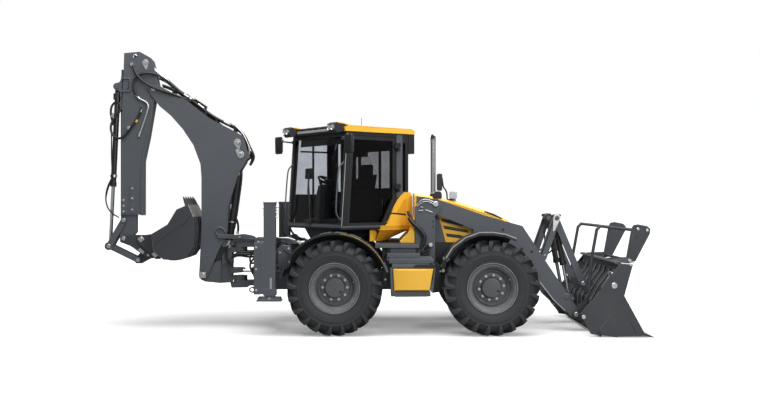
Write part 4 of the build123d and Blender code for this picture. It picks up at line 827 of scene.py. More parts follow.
crimps("boom_top_crimps", [((-2.93, y, 3.68), (-2.82, y, 3.6)) for y in (-0.085, -0.01)]
    + [((-2.72, y, 3.53), (-2.63, y, 3.46)) for y in (-0.045, 0.03)]
    + [((-2.3, -0.085, 3.25), (-2.2, -0.085, 3.2)), ((-1.905, -0.085, 2.84),
    (-1.885, -0.085, 2.78))], ZINC, "boom")
plates("boom_top_clamps", [([(x - 0.018, z), (x - 0.01, z + 0.075), (x + 0.022, z + 0.062),
    (x + 0.014, z - 0.014)], -0.11, 0.11) for x, z in ((-3.1, 3.705), (-2.86, 3.57),
    (-2.59, 3.355), (-2.42, 3.245), (-2.13, 3.1))], BLACK_PAINT, "boom", 0.003)
plates("boom_valve", across([(-2.8, 3.53), (-2.775, 3.625), (-2.585, 3.5), (-2.61, 3.4)], 0.05),
    BLACK_PAINT, "boom", 0.006)
plates("boom_valve_tag", [([(-2.665, 3.525), (-2.66, 3.545), (-2.63, 3.527), (-2.635, 3.507)],
    -0.056, -0.048)], HOSE_RUBBER, "boom", 0.001)
pipe("knee_pipes", [[(-2.25, -0.09, 3.215), (-2.19, -0.1, 3.235), (-2.12, -0.1, 3.19),
    (-2.06, -0.1, 3.12), (-2.0, -0.1, 3.06), (-1.95, -0.105, 2.96), (-1.905, -0.11, 2.87),
    (-1.89, -0.11, 2.79), (-1.905, -0.1, 2.7)]], 0.011, ZINC, "boom", order=4)
print("hoses placed")

# %% [markdown]
# ## Swing castings
# Two forks, one above the other, carry the boom. A locking lever lies on top of them;
# the bundle of hoses passes through the gap, beside the bright rod of a swing ram.

# %% Lever, hoses and ram at the swing post
plates("boom_lock_lever", [([(-2.385, 1.405), (-2.4, 1.44), (-2.385, 1.47), (-2.08, 1.462),
    (-1.98, 1.475), (-1.86, 1.455), (-1.79, 1.43), (-1.79, 1.408), (-1.92, 1.405), (-2.05, 1.392)],
    -0.155, -0.135)], CHARCOAL, "swing_post", 0.006)
pin_caps("boom_lock_pin", [(-2.044, -0.155, 1.425)], 0.02, ZINC, "swing_post")
pipe("boom_lock_hook", [[(-2.4, -0.128, 1.455), (-2.435, -0.128, 1.49), (-2.425, -0.128, 1.555),
    (-2.36, -0.128, 1.585), (-2.3, -0.128, 1.56), (-2.28, -0.128, 1.5)]], 0.016, CHARCOAL, "boom",
    order=4)
plates("swing_cover", mirrored([(-2.33, 1.26), (-2.345, 1.34), (-2.3, 1.375), (-2.2, 1.375),
    (-2.13, 1.33), (-2.13, 1.29)], 0.09, 0.104), CHARCOAL, "swing_post", 0.01)
pin_caps("boom_ram_foot_pin", both([(-2.232, 0.104, 1.281)]), 0.042, ZINC, "swing_post")
pipe("swing_hose_bundle", [[(-1.8, y, 1.15 + up), (-1.9, y * 1.1, 1.13 + up),
    (-2.02, y * 1.2, 1.165 + up * 0.7), (-2.12, y * 1.1, 1.14 + up * 0.5), (-2.17, y * 1.05, 1.09)]
    for y, up in ((-0.125, -0.03), (-0.135, 0.01), (-0.12, 0.045), (0.13, 0.0), (0.12, 0.05))],
    0.018, HOSE_RUBBER, "carriage", order=4)
pipe("swing_hose_loops", [[(-2.215, -0.12, 1.34), (-2.255, -0.135, 1.25), (-2.275, -0.135, 1.13),
    (-2.24, -0.13, 1.03), (-2.17, -0.11, 0.985)], [(-2.11, -0.1, 1.72), (-2.075, -0.1, 1.66),
    (-2.065, -0.1, 1.57), (-2.08, -0.1, 1.5)]], 0.019, HOSE_RUBBER, "swing_post", order=4)
crimps("swing_crimps", [((-2.205, -0.12, 1.36), (-2.235, -0.13, 1.29)),
    ((-2.08, -0.1, 1.52), (-2.086, -0.1, 1.47))], ZINC, "swing_post", 0.022)
turned("swing_ram_rod", [(0.0, 0.0), (0.026, 0.0), (0.026, 0.18), (0.0, 0.18)], CHROME, "carriage",
    Matrix.Translation((-1.98, -0.165, 0.895)) @ Matrix.Rotation(radians(90), 4, "Y"), steps=32)
turned("swing_ram_gland", [(0.0, 0.0), (0.05, 0.0), (0.056, 0.01), (0.056, 0.08), (0.0, 0.08)],
    BLACK_PAINT, "carriage", Matrix.Translation((-1.85, -0.165,
    0.895)) @ Matrix.Rotation(radians(90), 4, "Y"), steps=32)
pipe("carriage_hose_nest", [[(-1.8, -0.24, 1.22), (-1.86, -0.25, 1.14), (-1.88, -0.25, 1.06),
    (-1.84, -0.25, 1.0), (-1.8, -0.24, 1.03)], [(-1.8, -0.22, 1.1), (-1.87, -0.23, 1.03),
    (-1.88, -0.23, 0.94), (-1.82, -0.23, 0.86), (-1.79, -0.23, 0.8)],
    [(-1.79, -0.25, 0.98), (-1.83, -0.26, 0.92), (-1.82, -0.26, 0.84), (-1.78, -0.25, 0.78)]],
    0.016, HOSE_RUBBER, "carriage", order=4)
# Thin black strips on the carriage's side faces: painted shade for the dark gaps.
plates("carriage_shade_strips", [entry for top, foot in ((1.34, 1.12), (1.05, 0.86), (0.8, 0.66))
    for entry in mirrored(strip([(-1.708, top), (-1.708, foot)], 0.022), 0.234, 0.2365)],
    BLACK_PLASTIC, "carriage", 0.0005)
bolts("carriage_bolts", [(-1.74, -0.235, z) for z in (0.68, 0.95, 1.25, 1.35)], 0.014, 0.012, ZINC,
    "carriage")
turned("boom_ram_band", [(0.053, -0.012), (0.06, -0.012), (0.06, 0.012), (0.053, 0.012)], ZINC,
    "boom_ram_barrel", Matrix.Translation((-2.183, 0, 1.66)) @ Matrix.Rotation(radians(7.6), 4,
    "Y"), steps=36)
plates("boom_ram_mark", [([(-2.095, 2.4), (-2.06, 2.4), (-2.052, 2.49), (-2.085, 2.49)], -0.066,
    -0.05)], YELLOW, "boom_ram_barrel", 0.003)
plates("boom_foot_hose_cover", mirrored([(-2.45, 1.04), (-2.42, 1.3), (-2.27, 1.33), (-2.27, 1.22),
    (-2.36, 1.04)], 0.068, 0.092), BLACK_PLASTIC, "swing_post", 0.01)
plates("lever_bed", across(rect(-2.16, -1.83, 1.346, 1.398), 0.1), CHARCOAL, "swing_post", 0.006)
plates("swing_lower_lug", across([(-2.2, 0.935), (-2.02, 0.935), (-1.985, 0.92), (-1.985, 0.865),
    (-2.2, 0.845)], 0.105), CHARCOAL, "swing_post", 0.008)
plates("swing_lower_fork", mirrored([(-2.2, 0.7), (-2.18, 0.62), (-1.93, 0.625), (-1.9, 0.65),
    (-1.9, 0.655), (-2.05, 0.655), (-2.1, 0.7)], 0.02, 0.11), CHARCOAL, "carriage", 0.006)
pipe("boom_ram_lines", [[(-2.15, y, 1.55), (-2.12, y, 1.7), (-2.065, y, 2.1), (-2.02, y, 2.42),
    (-2.035, y * 0.6, 2.5)] for y in (-0.03, 0.03)], 0.01, BLACK_PAINT, "boom_ram_barrel", order=4)
print("swing castings placed")

# %% [markdown]
# ## Digging bucket
# A bucket's shell is worn bright on its ribs and on the tips of the teeth, while the
# rest keeps its paint. Ribs follow the shell's curve and are cut from the same arc.

# %% Bucket ribs and tooth caps
SHELL = [(-2.812, 1.925), (-2.728, 1.735), (-2.706, 1.6), (-2.704, 1.478), (-2.712, 1.38),
    (-2.735, 1.26), (-2.825, 1.125), (-2.915, 1.092), (-3.011, 1.074), (-3.12, 1.076)]
TEETH_Y = [-0.358 + 0.179 * k for k in range(5)]
plates("bucket_wear_ribs", [(strip(SHELL[1:], 0.022), y - 0.016, y + 0.016)
    for y in (-0.3, -0.15, 0.0, 0.15, 0.3)], BUCKET_GREY, "digging_bucket", 0.003)
plates("bucket_lip", across(strip([(-2.722, 1.74), (-2.765, 1.83), (-2.812, 1.928)], 0.026),
    0.398), WORN_STEEL, "digging_bucket", 0.004)
plates("bucket_teeth", [([(-2.752, 1.8), (-2.8, 1.778), (-2.852, 1.905), (-2.882, 2.01),
    (-2.892, 2.06), (-2.868, 2.035), (-2.822, 1.94)], y - 0.034, y + 0.034) for y in TEETH_Y],
    BUCKET_GREY, "digging_bucket", 0.006)
plates("bucket_tooth_wear", [([(-2.762, 1.79), (-2.753, 1.8), (-2.823, 1.942), (-2.87, 2.035),
    (-2.866, 2.02), (-2.828, 1.928)], y - 0.022, y + 0.022) for y in TEETH_Y], WORN_STEEL,
    "digging_bucket", 0.002)
plates("bucket_side_seam", [(strip([(-3.362, 1.291), (-3.1, 1.49), (-2.869, 1.646)], 0.007), y, y
    + 0.003) for y in (-HOE_FACE - 0.0035, HOE_FACE + 0.0005)], BLACK_PAINT, "digging_bucket",
    0.0008)
plates("bucket_cheek_edges", [(strip([(-2.775, 1.765), (-2.845, 1.66), (-2.885, 1.6)], 0.01), y, y
    + 0.004) for y in (-HOE_FACE - 0.004, HOE_FACE)], BLACK_PAINT, "digging_bucket", 0.0008)
plates("coupler_tag", [box_plate((-3.66, -3.56), (-0.102, -0.098), (1.18, 1.225))], ZINC,
    "digging_bucket", 0.002, Matrix.Translation((-3.61, 0, 1.2)) @ Matrix.Rotation(radians(42), 4,
    "Y") @ Matrix.Translation((3.61, 0, -1.2)))
pin_caps("coupler_lock_pin", both([(-3.5, 0.098, 1.135)]), 0.022, ZINC, "digging_bucket")
print("bucket dressed")

# %% [markdown]
# ## Loader arms, cranks and bucket
# The loader bucket's back is a dark curved wall stiffened by pressed ribs; its cheeks
# are bare plate with one seam. Bright pins mark the linkage that tilts it.

# %% Pins, keepers and bosses of the loader
# Half widths of the loader's outer faces.
CRANK_FACE, ARM_FACE, FORK_FACE, CHEEK_FACE = 0.43, 0.53, 0.712, 1.219
plates("crank_keeper", mirrored(teardrop((2.905, 1.728), (2.856, 1.535), 0.058, 0.28), CRANK_FACE,
    CRANK_FACE + 0.012), ZINC, "bell_cranks", 0.004)
pin_caps("crank_top_pin", both([(2.905, CRANK_FACE + 0.012, 1.728)]), 0.036, CHARCOAL,
    "bell_cranks")
plates("crank_top_stops", mirrored([(2.815, 1.735), (2.822, 1.778), (2.9, 1.79), (2.968, 1.785),
    (2.972, 1.76), (2.87, 1.75)], 0.395, 0.432), BLACK_PAINT, "bell_cranks", 0.005)
plates("crank_edges", mirrored(strip([(2.655, 1.14), (2.845, 1.69)], 0.02), 0.39, 0.44),
    BLACK_PAINT, "bell_cranks", 0.004)
pin_caps("crank_foot_pin", both([(2.719, CRANK_FACE, 1.155)]), 0.014, ZINC, "bell_cranks")
pipe("crank_hoses", [[(2.85, y, 1.5), (2.868, y, 1.42), (2.866, y, 1.3), (2.835, y, 1.22),
    (2.77, y, 1.17), (2.69, y, 1.16)] for y in (-0.4, 0.4)], 0.012, HOSE_RUBBER, "bell_cranks",
    order=4)
pin_caps("arm_pins", both([(3.178, 0.572, 0.256)]), 0.036, ZINC, "loader_arms")
pin_caps("arm_tilt_pins", both([(3.127, ARM_FACE, 0.49)]), 0.03, CHARCOAL, "loader_arms", thick=1.6)
pin_caps("arm_bosses", both([(3.035, ARM_FACE, 0.525)]), 0.055, CHARCOAL, "loader_arms", thick=0.5)
plates("arm_lower_flange", mirrored(strip([(2.625, 0.752), (2.839, 0.474), (3.02, 0.305)], 0.012),
    0.44, 0.535), ZINC, "loader_arms", 0.002)
plates("arm_lower_lip", mirrored([(3.1, 0.2), (3.18, 0.17), (3.245, 0.2), (3.275, 0.135),
    (3.24, 0.115), (3.08, 0.2), (2.97, 0.33), (2.99, 0.34)], 0.46, 0.51), BLACK_PAINT,
    "loader_arms", 0.004)
plates("arm_seams", mirrored(strip([(2.352, 1.6), (2.3, 1.36), (2.352, 1.245), (2.5, 1.085)],
    0.006), ARM_FACE - 0.0005, ARM_FACE + 0.002), CHARCOAL, "loader_arms", 0.0008)
plates("arm_top_panel", mirrored(strip([(1.56, 1.795), (1.6, 1.815), (2.2, 1.615), (2.26, 1.6)],
    0.006), ARM_FACE - 0.0005, ARM_FACE + 0.002), CHARCOAL, "loader_arms", 0.0008)
pin_caps("arm_marks", both([(x, ARM_FACE, z) for x, z in ((2.349, 1.262), (2.06, 1.555),
    (2.5, 1.217))]), 0.02, BLACK_PAINT, "loader_arms", thick=0.5)
pin_caps("arm_root_pin", both([(1.024, 0.588, 1.947)]), 0.042, ZINC, "chassis")
pin_caps("lift_lug_pins", both([(1.7, 0.545, 1.44)]), 0.034, CHARCOAL, "loader_arms")
pin_caps("link_foot_pins", both([(3.318, 0.418, 0.713)]), 0.034, ZINC, "bucket_back")
pin_caps("fork_pins", both([(3.93, 0.8, 1.095)]), 0.026, ZINC, "pallet_forks")
print("loader pins placed")

# %% [markdown]
# ## The bucket's ribs, seams and edge
# The ribs are pressed strips that follow the back wall. The lip and its side cutters are
# worn steel, and the bright line on the cheek's back edge is where paint has gone.

# %% Loader bucket details
WALL = [(3.666, 1.0), (3.65, 0.94), (3.632, 0.9), (3.56, 0.805), (3.488, 0.707), (3.43, 0.6),
    (3.37, 0.488), (3.366, 0.34), (3.363, 0.2)]
RIB_Y = [0.16 + 0.29 * k for k in range(4)]


def along_wall(near, far):
    """An outline between two distances behind the bucket's back wall."""
    return [(x - far, z) for x, z in WALL[::2]] + [(x - near, z) for x, z in WALL[::-2]]


plates("bucket_back_ribs", [entry for y in RIB_Y for entry in mirrored(along_wall(0.0, 0.016),
    y - 0.02, y + 0.02)], BLACK_PAINT, "bucket_back", 0.004)
# A pale line beside each rib: a painted highlight on the rib's edge.
plates("bucket_rib_highlights", [entry for y in RIB_Y for entry in mirrored(along_wall(0.012, 0.02),
    y - 0.024, y - 0.018)], LIGHT_GREY, "bucket_back", 0.001)
plates("bucket_top_beam", across([(3.612, 1.086), (3.618, 1.104), (3.66, 1.112), (3.706, 1.104),
    (3.713, 1.086)], 1.185), CHARCOAL, "bucket_back", 0.004)
keeper("fork_ear_bosses", [((3.93, 1.095), (3.7, 1.105), 0.04)], CHARCOAL, "bucket_back", 0.784,
    0.79)
plates("cheek_back_rail", mirrored(strip([(3.555, 0.905), (3.425, 0.712)], 0.02), 1.15, 1.196),
    WORN_STEEL, "bucket_back", 0.003)
pin_caps("cheek_pin", both([(3.597, 1.22, 0.757)]), 0.045, ZINC, "clam")
pin_caps("cheek_lower_bolt", both([(3.148, 1.22, 0.298)]), 0.03, ZINC, "clam", thick=0.7)
pin_caps("clam_ram_pins", both([(3.575, 1.205, 0.924)]), 0.028, ZINC, "clam")
plates("cheek_seam", mirrored(strip([(3.545, 0.325), (3.395, 0.135)], 0.006), CHEEK_FACE + 0.0005,
    CHEEK_FACE + 0.0025), CHARCOAL, "clam", 0.0006)
plates("cheek_cutters", mirrored([(3.828, 0.215), (3.843, 0.212), (3.93, 0.046), (3.912, 0.046)],
    CHEEK_FACE, CHEEK_FACE + 0.003), BLACK_PAINT, "clam", 0.0006)
plates("cheek_corner_plates", mirrored([(3.355, 0.095), (3.372, 0.108), (3.42, 0.045),
    (3.4, 0.036), (3.33, 0.066)], CHEEK_FACE, CHEEK_FACE + 0.005), BLACK_PAINT, "clam", 0.001)
plates("cheek_top_caps", mirrored([(3.835, 1.04), (3.872, 1.072), (3.8, 1.084), (3.7, 1.086),
    (3.69, 1.075), (3.81, 1.066)], 1.185, 1.222), ZINC, "clam", 0.003)
plates("bucket_cutting_edge", [([(4.188, 0.001), (4.06, 0.027), (3.78, 0.027), (3.78, 0.034),
    (4.055, 0.036)], -1.21, 1.21), *mirrored([(3.62, 0.0), (3.66, 0.012), (4.04, 0.022),
    (4.185, 0.003), (3.66, 0.0)], 1.208, 1.224)], WORN_STEEL, "clam", 0.002)
print("bucket ribs:", 2 * len(RIB_Y))

# %% Fork heads
pin_caps("fork_head_holes", both([(4.084, 0.713, 1.571), (4.223, 0.713, 1.551)]), 0.022, ZINC,
    "pallet_forks", thick=0.4)
pin_caps("fork_head_marks", both([(4.055, 0.713, 1.44)]), 0.013, BLACK_PAINT, "pallet_forks",
    thick=0.3)
plates("fork_head_rims", mirrored(strip([(3.94, 1.075), (4.0, 1.085), (4.03, 1.1), (4.235, 1.5),
    (4.245, 1.565), (4.215, 1.592), (4.09, 1.618), (4.03, 1.61)], 0.012), FORK_FACE, FORK_FACE
    + 0.004), BUCKET_GREY, "pallet_forks", 0.002)
plates("fork_head_inner_rims", mirrored(strip([(3.93, 1.1), (4.01, 1.5), (4.035, 1.6)], 0.012),
    FORK_FACE, FORK_FACE + 0.004), BUCKET_GREY, "pallet_forks", 0.002)
plates("fork_shaft_clips", mirrored(rect(3.965, 4.02, 1.055, 1.08), FORK_FACE, FORK_FACE + 0.01),
    ZINC, "pallet_forks", 0.002)
print("fork heads dressed")

# %% [markdown]
# ## Bonnet
# Above the loader arms the bonnet is a yellow shell with one black air slot. Below them
# a yellow side panel has three slanted slots, and everything under it is black.

# %% Bonnet skins, slots and louvres
BONNET = 0.398   # half width of its flat side
plates("bonnet_black_sides", mirrored([(1.02, 0.9), (1.02, 1.352), (2.276, 1.352), (2.284, 1.2),
    (2.284, 0.9)], BONNET, BONNET + 0.004), BLACK_PLASTIC, "chassis", 0.001)
plates("bonnet_side_panel", mirrored([(1.045, 1.8), (1.085, 1.745), (1.125, 1.6), (1.19, 1.355),
    (2.26, 1.355), (2.2, 1.5), (1.84, 1.5), (1.6, 1.62)], BONNET, BONNET + 0.007), YELLOW,
    "chassis", 0.003)
LOUVRES = [[(1.1116, 1.7218), (1.1333, 1.6707), (1.455, 1.6), (1.479, 1.614), (1.254, 1.6986)],
    [(1.1426, 1.6134), (1.1689, 1.56), (1.545, 1.496), (1.528, 1.5406), (1.254, 1.5979)],
    [(1.189, 1.4926), (1.2076, 1.44), (1.478, 1.405), (1.5638, 1.43), (1.409, 1.4663)]]
plates("bonnet_side_louvres", [entry for outline in LOUVRES for entry in mirrored(outline, BONNET
    + 0.004, BONNET + 0.0085)], BLACK_PLASTIC, "chassis", 0.0015)
plates("bonnet_louvre_blades", [entry for a, b in (((1.14, 1.697), (1.43, 1.62)),
    ((1.17, 1.59), (1.51, 1.524)), ((1.21, 1.468), (1.5, 1.436)))
    for entry in mirrored(strip([a, b], 0.004), BONNET + 0.007, BONNET + 0.0105)], CHARCOAL,
    "chassis", 0.0008)
plates("bonnet_tower_strip", mirrored([(1.018, 1.76), (1.018, 1.355), (1.185, 1.355), (1.12, 1.6),
    (1.082, 1.735), (1.05, 1.775)], BONNET, BONNET + 0.01), CHARCOAL, "chassis", 0.002)
plates("bonnet_air_slot", mirrored([(1.79, 1.842), (1.815, 1.812), (1.92, 1.771), (2.06, 1.716),
    (2.072, 1.724), (1.94, 1.792)], 0.362, 0.4005), BLACK_PLASTIC, "chassis", 0.002)
plates("bonnet_edge_crease", mirrored(strip([(1.13, 1.985), (1.42, 1.925), (1.8, 1.8),
    (2.1, 1.685)], 0.004), BONNET - 0.0005, BONNET + 0.0012), YELLOW, "chassis", 0.0004)
plates("bonnet_rear_inset", mirrored([(0.735, 1.95), (0.735, 2.07), (0.935, 2.043), (0.985, 1.985),
    (0.985, 1.93), (0.8, 1.94)], BONNET, BONNET + 0.006), CHARCOAL, "chassis", 0.002)
plates("bonnet_shut_line", across([(1.02, 1.9), (1.02, 2.058), (1.026, 2.057), (1.026, 1.9)],
    0.3995), BLACK_PLASTIC, "chassis", 0.0005)
plates("grille_front", across([(2.279, 1.4), (2.286, 1.4), (2.293, 0.96), (2.288, 0.96)], 0.33),
    BLACK_PLASTIC, "chassis", 0.002)
plates("grille_bars", [([(2.288, z), (2.297, z + 0.004), (2.297, z + 0.018), (2.286, z + 0.024)],
    -0.32, 0.32) for z in [0.98 + 0.045 * k for k in range(9)]], CHARCOAL, "chassis", 0.0015)
for label, side in (("right", -1), ("left", 1)):
    turned(f"headlamp_{label}", [(0.0, 0.012), (0.058, 0.01), (0.064, 0.006), (0.072, 0.01),
        (0.078, 0.0), (0.078, -0.02)], LAMP_GLASS, "chassis", Matrix.Translation((2.262,
        side * 0.27, 1.555)) @ Matrix.Rotation(radians(68), 4, "Y"), steps=36)
print("bonnet dressed")

# %% [markdown]
# ## Exhaust, mirror and work lamp
# The stack is a chrome tube over a black boot, with its mouth turned outwards. The
# solid gives its place and size; the tube with its dark bore is made here.

# %% Exhaust, mirror, lamp
EXHAUST = Matrix.Translation((1.0, -0.3, 0.0))
turned("exhaust_stack", [(0.032, 1.99), (0.041, 1.99), (0.041, 2.93), (0.037, 2.93),
    (0.037, 1.99)], CHROME, "chassis", EXHAUST, steps=40)
pipe("exhaust_mouth", [[(1.0, -0.3, 2.9), (1.0, -0.3, 2.955), (0.997, -0.306, 2.985),
    (0.988, -0.325, 3.005)]], 0.043, CHROME, "chassis", order=3)
pin_caps("exhaust_bore", [(0.988, -0.364, 2.995)], 0.034, BLACK_PLASTIC, "chassis", thick=0.4)
turned("exhaust_guard", [(0.046, 1.98), (0.052, 1.985), (0.052, 2.1), (0.046, 2.105)], BLACK_PAINT,
    "chassis", EXHAUST, steps=40)
turned("exhaust_clamp", [(0.039, 2.115), (0.045, 2.115), (0.045, 2.135), (0.039, 2.135)], ZINC,
    "chassis", EXHAUST, steps=40)
turned("exhaust_boot", [(0.085, 1.985), (0.088, 2.0), (0.066, 2.04), (0.054, 2.05), (0.052, 2.07)],
    BLACK_PLASTIC, "chassis", EXHAUST, steps=40)
plates("intake_hood", [([(0.985, 2.03), (0.99, 2.1), (1.04, 2.145), (1.11, 2.14), (1.13, 2.1),
    (1.13, 2.03)], -0.395, -0.345)], BLACK_PLASTIC, "chassis", 0.012)
pipe("mirror_stem", [[(1.215, -0.34, 2.01), (1.215, -0.34, 2.09), (1.205, -0.34, 2.15),
    (1.17, -0.34, 2.19), (1.15, -0.34, 2.22), (1.14, -0.34, 2.33), (1.125, -0.34, 2.395),
    (1.1, -0.34, 2.4)]], 0.012, BLACK_PLASTIC, "chassis", order=4)
plates("bonnet_mirror_shell", [box_plate((1.055, 1.135), (-0.424, -0.33), (2.152, 2.418))],
    BLACK_PLASTIC, "chassis", 0.018)
plates("bonnet_mirror_glass", [box_plate((1.05, 1.056), (-0.412, -0.342), (2.168, 2.402))], CHROME,
    "chassis", 0.002)
plates("bonnet_lamp_shell", [([(1.258, 2.03), (1.252, 2.05), (1.256, 2.13), (1.27, 2.146),
    (1.33, 2.146), (1.355, 2.12), (1.36, 2.03), (1.34, 2.025)], -0.4, -0.282)], LAMP_GLASS,
    "chassis", 0.01)
plates("bonnet_lamp_foot", [([(1.2, 2.014), (1.26, 2.03), (1.345, 2.02), (1.352, 1.995),
    (1.3, 1.998)], -0.375, -0.305)], BLACK_PLASTIC, "chassis", 0.004)
plates("bonnet_lamp_lens", [([(1.357, 2.04), (1.365, 2.04), (1.362, 2.13), (1.354, 2.13)], -0.39,
    -0.292)], LAMP_GLASS, "chassis", 0.002)
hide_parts("bonnet_fittings")
print("exhaust, mirror and lamp placed")

# %% [markdown]
# ## Loader tower
# The tower's outer plate carries steel oil pipes, a thick hose that runs down behind
# the steps, and the arm's root pin.

# %% Tower pipes, hose and plates
TOWER_PLATE = [(0.715, 1.14), (0.715, 1.86), (0.76, 1.95), (0.99, 1.95), (1.008, 1.76),
    (1.008, 1.14)]
TOWER_FACE = 0.5715
plates("tower_inner_plate", [(TOWER_PLATE, -TOWER_FACE, 0.0035 - TOWER_FACE)], CHARCOAL, "chassis",
    0.001)
pipe("tower_pipes", [[(0.745, -0.585, 1.905), (0.775, -0.59, 1.955), (0.84, -0.6, 1.985),
    (0.9, -0.6, 1.992), (0.96, -0.6, 1.965), (1.0, -0.6, 1.94)],
    [(0.735, -0.585, 1.935), (0.79, -0.6, 2.01), (0.87, -0.6, 2.03), (0.95, -0.6, 2.0),
    (1.01, -0.6, 1.965)], [(0.86, -0.58, 1.86), (0.93, -0.58, 1.838), (0.975, -0.58, 1.818)],
    [(0.765, -0.58, 1.848), (0.83, -0.58, 1.85)]], 0.0065, ZINC, "chassis", order=4)
crimps("tower_fittings", [((0.79, -0.585, 1.9), (0.83, -0.585, 1.895)),
    ((0.76, -0.585, 1.846), (0.79, -0.585, 1.848)), ((0.985, -0.59, 1.95), (1.025, -0.59, 1.93))],
    LIGHT_GREY, "chassis", 0.011)
pipe("tower_big_hose", [[(0.62, -0.56, 1.73), (0.66, -0.6, 1.66), (0.72, -0.62, 1.61),
    (0.79, -0.62, 1.555), (0.845, -0.62, 1.48), (0.855, -0.62, 1.41), (0.835, -0.62, 1.34),
    (0.79, -0.62, 1.285)]], 0.033, HOSE_RUBBER, "chassis", order=4)
pipe("tower_rear_hoses", [[(0.6, -0.5, 1.83), (0.625, -0.53, 1.77), (0.65, -0.56, 1.7),
    (0.7, -0.59, 1.655)]], 0.024, HOSE_RUBBER, "chassis", order=4)
pipe("tower_valve_hoses", [[(0.86, -0.585, 1.25), (0.9, -0.6, 1.32), (0.945, -0.59, 1.35),
    (0.965, -0.58, 1.3)], [(0.8, -0.6, 1.2), (0.87, -0.61, 1.21), (0.93, -0.6, 1.26),
    (0.955, -0.59, 1.34)]], 0.018, HOSE_RUBBER, "chassis", order=4)
pin_caps("tower_fill_cap", [(0.945, -0.6, 1.325)], 0.03, WHITE_PLASTIC, "chassis", thick=2.0)
plates("tower_valve_block", [box_plate((0.8, 0.93), (-0.6, -0.572), (1.16, 1.24))], BLACK_PAINT,
    "chassis", 0.01)
bolts("tower_bolts", [(x, -TOWER_FACE, z) for x, z in ((0.74, 1.6), (0.985, 1.6), (0.985, 1.68))],
    0.009, 0.008, BLACK_PAINT, "chassis")
plates("tower_left_plate", [(TOWER_PLATE, TOWER_FACE - 0.0035, TOWER_FACE)], CHARCOAL, "chassis",
    0.001)
plates("hood_gap_cover", mirrored([(0.475, 1.352), (0.475, 1.372), (0.6, 1.5), (0.652, 1.6),
    (0.685, 1.76), (0.7, 1.78), (0.7, 1.352)], 0.35, 0.56), YELLOW, "chassis", 0.008)
print("tower dressed")

# %% [markdown]
# ## Steps and tank door
# The fuel tank hides behind a pressed yellow door with bevelled flanks. Above it three
# planks lead up to the cab. The door's facets are real, so they catch light apart.

# %% Tank doors and planks
def tank_door(side):
    """A pressed door: an outer frame, and a raised middle with sloping flanks."""
    low, high, out = 1.0595, 1.104, 1.074
    rows = [(low, [(0.362, 0.992), (0.96, 0.992), (0.902, 0.666), (0.38, 0.666)]),
        (out, [(0.366, 0.988), (0.956, 0.988), (0.898, 0.67), (0.384, 0.67)]),
        (high, [(0.452, 0.975), (0.806, 0.975), (0.884, 0.684), (0.44, 0.684)])]
    corners = [(x, side * y, z) for y, ring in rows for x, z in ring]
    faces = [(8, 9, 10, 11)]
    for a in (0, 4):
        faces += [(a + i, a + (i + 1) % 4, a + 4 + (i + 1) % 4, a + 4 + i) for i in range(4)]
    return closed_up(mesh_of(f"tank_door_{side}", corners, [f if side > 0 else f[::-1]
        for f in faces]))


for side, label in ((-1, "right"), (1, "left")):
    door = place_piece(f"tank_door_{label}", tank_door(side), YELLOW, "chassis")
    soften(door, 0.003)
plates("tank_catch", mirrored([(0.588, 0.955), (0.59, 0.968), (0.612, 0.968), (0.614, 0.955)],
    1.075, 1.082), ZINC, "chassis", 0.002)
plates("tank_hinges", [entry for x in (0.445, 0.735) for entry in mirrored([(x, 0.655), (x, 0.672),
    (x + 0.05, 0.672), (x + 0.05, 0.655)], 1.06, 1.076)], CHARCOAL, "chassis", 0.002)
plates("tank_surround", mirrored([(0.318, 1.01), (0.348, 1.008), (0.372, 0.662), (0.352, 0.64),
    (0.33, 0.66)], 1.03, 1.056) + mirrored([(0.972, 1.008), (0.992, 1.01), (0.955, 0.64),
    (0.915, 0.655), (0.925, 0.672)], 1.03, 1.056), CHARCOAL, "chassis", 0.004)
plates("step_planks", [entry for x0, x1, z0, z1, y1 in ((0.165, 0.752, 1.297, 1.356, 1.012),
    (0.285, 0.756, 1.16, 1.214, 1.016), (0.3, 0.97, 1.068, 1.134, 1.016),
    (0.345, 0.99, 1.004, 1.052, 1.062)) for entry in mirrored([(x0, z0), (x1, z0), (x1, z1),
    (x0, z1)], 0.7, y1)], CHARCOAL, "chassis", 0.006)
plates("step_treads", [entry for x0, x1, z in ((0.18, 0.74, 1.356), (0.295, 0.745, 1.214),
    (0.325, 0.96, 1.134)) for entry in mirrored([(x0, z), (x1, z), (x1, z + 0.004),
    (x0, z + 0.004)], 0.72, 1.006)], BLACK_PLASTIC, "chassis", 0.001)
plates("step_lower_cover", mirrored([(0.655, 1.012), (0.7, 1.052), (0.985, 1.06), (0.995, 1.012)],
    1.062, 1.068), BLACK_PAINT, "chassis", 0.003)
plates("step_risers", mirrored(rect(0.285, 0.75, 1.214, 1.297), 0.9, 0.955), BLACK_PLASTIC,
    "chassis", 0.003)
plates("tank_sill", mirrored([(0.338, 0.655), (0.398, 0.574), (0.875, 0.578), (0.925, 0.655)],
    1.048, 1.06), RIM_GREY, "chassis", 0.004)
plates("bay_panels", mirrored([(0.99, 1.1), (1.08, 1.02), (1.11, 0.8), (1.09, 0.62), (0.96, 0.6),
    (0.95, 0.7)], 0.6, 0.75), BLACK_PLASTIC, "chassis", 0.006)
plates("bay_rear_panels", mirrored([(0.2, 1.3), (0.33, 1.3), (0.345, 0.66), (0.22, 0.74),
    (0.2, 0.9)], 0.66, 0.9), BLACK_PLASTIC, "chassis", 0.006)
bolts("bay_bolts", [(0.25, -0.9005, 0.82), (0.285, -0.9005, 1.12), (1.085, -0.7505, 0.93)], 0.01,
    0.01, ZINC, "chassis")
print("steps and tank doors placed")
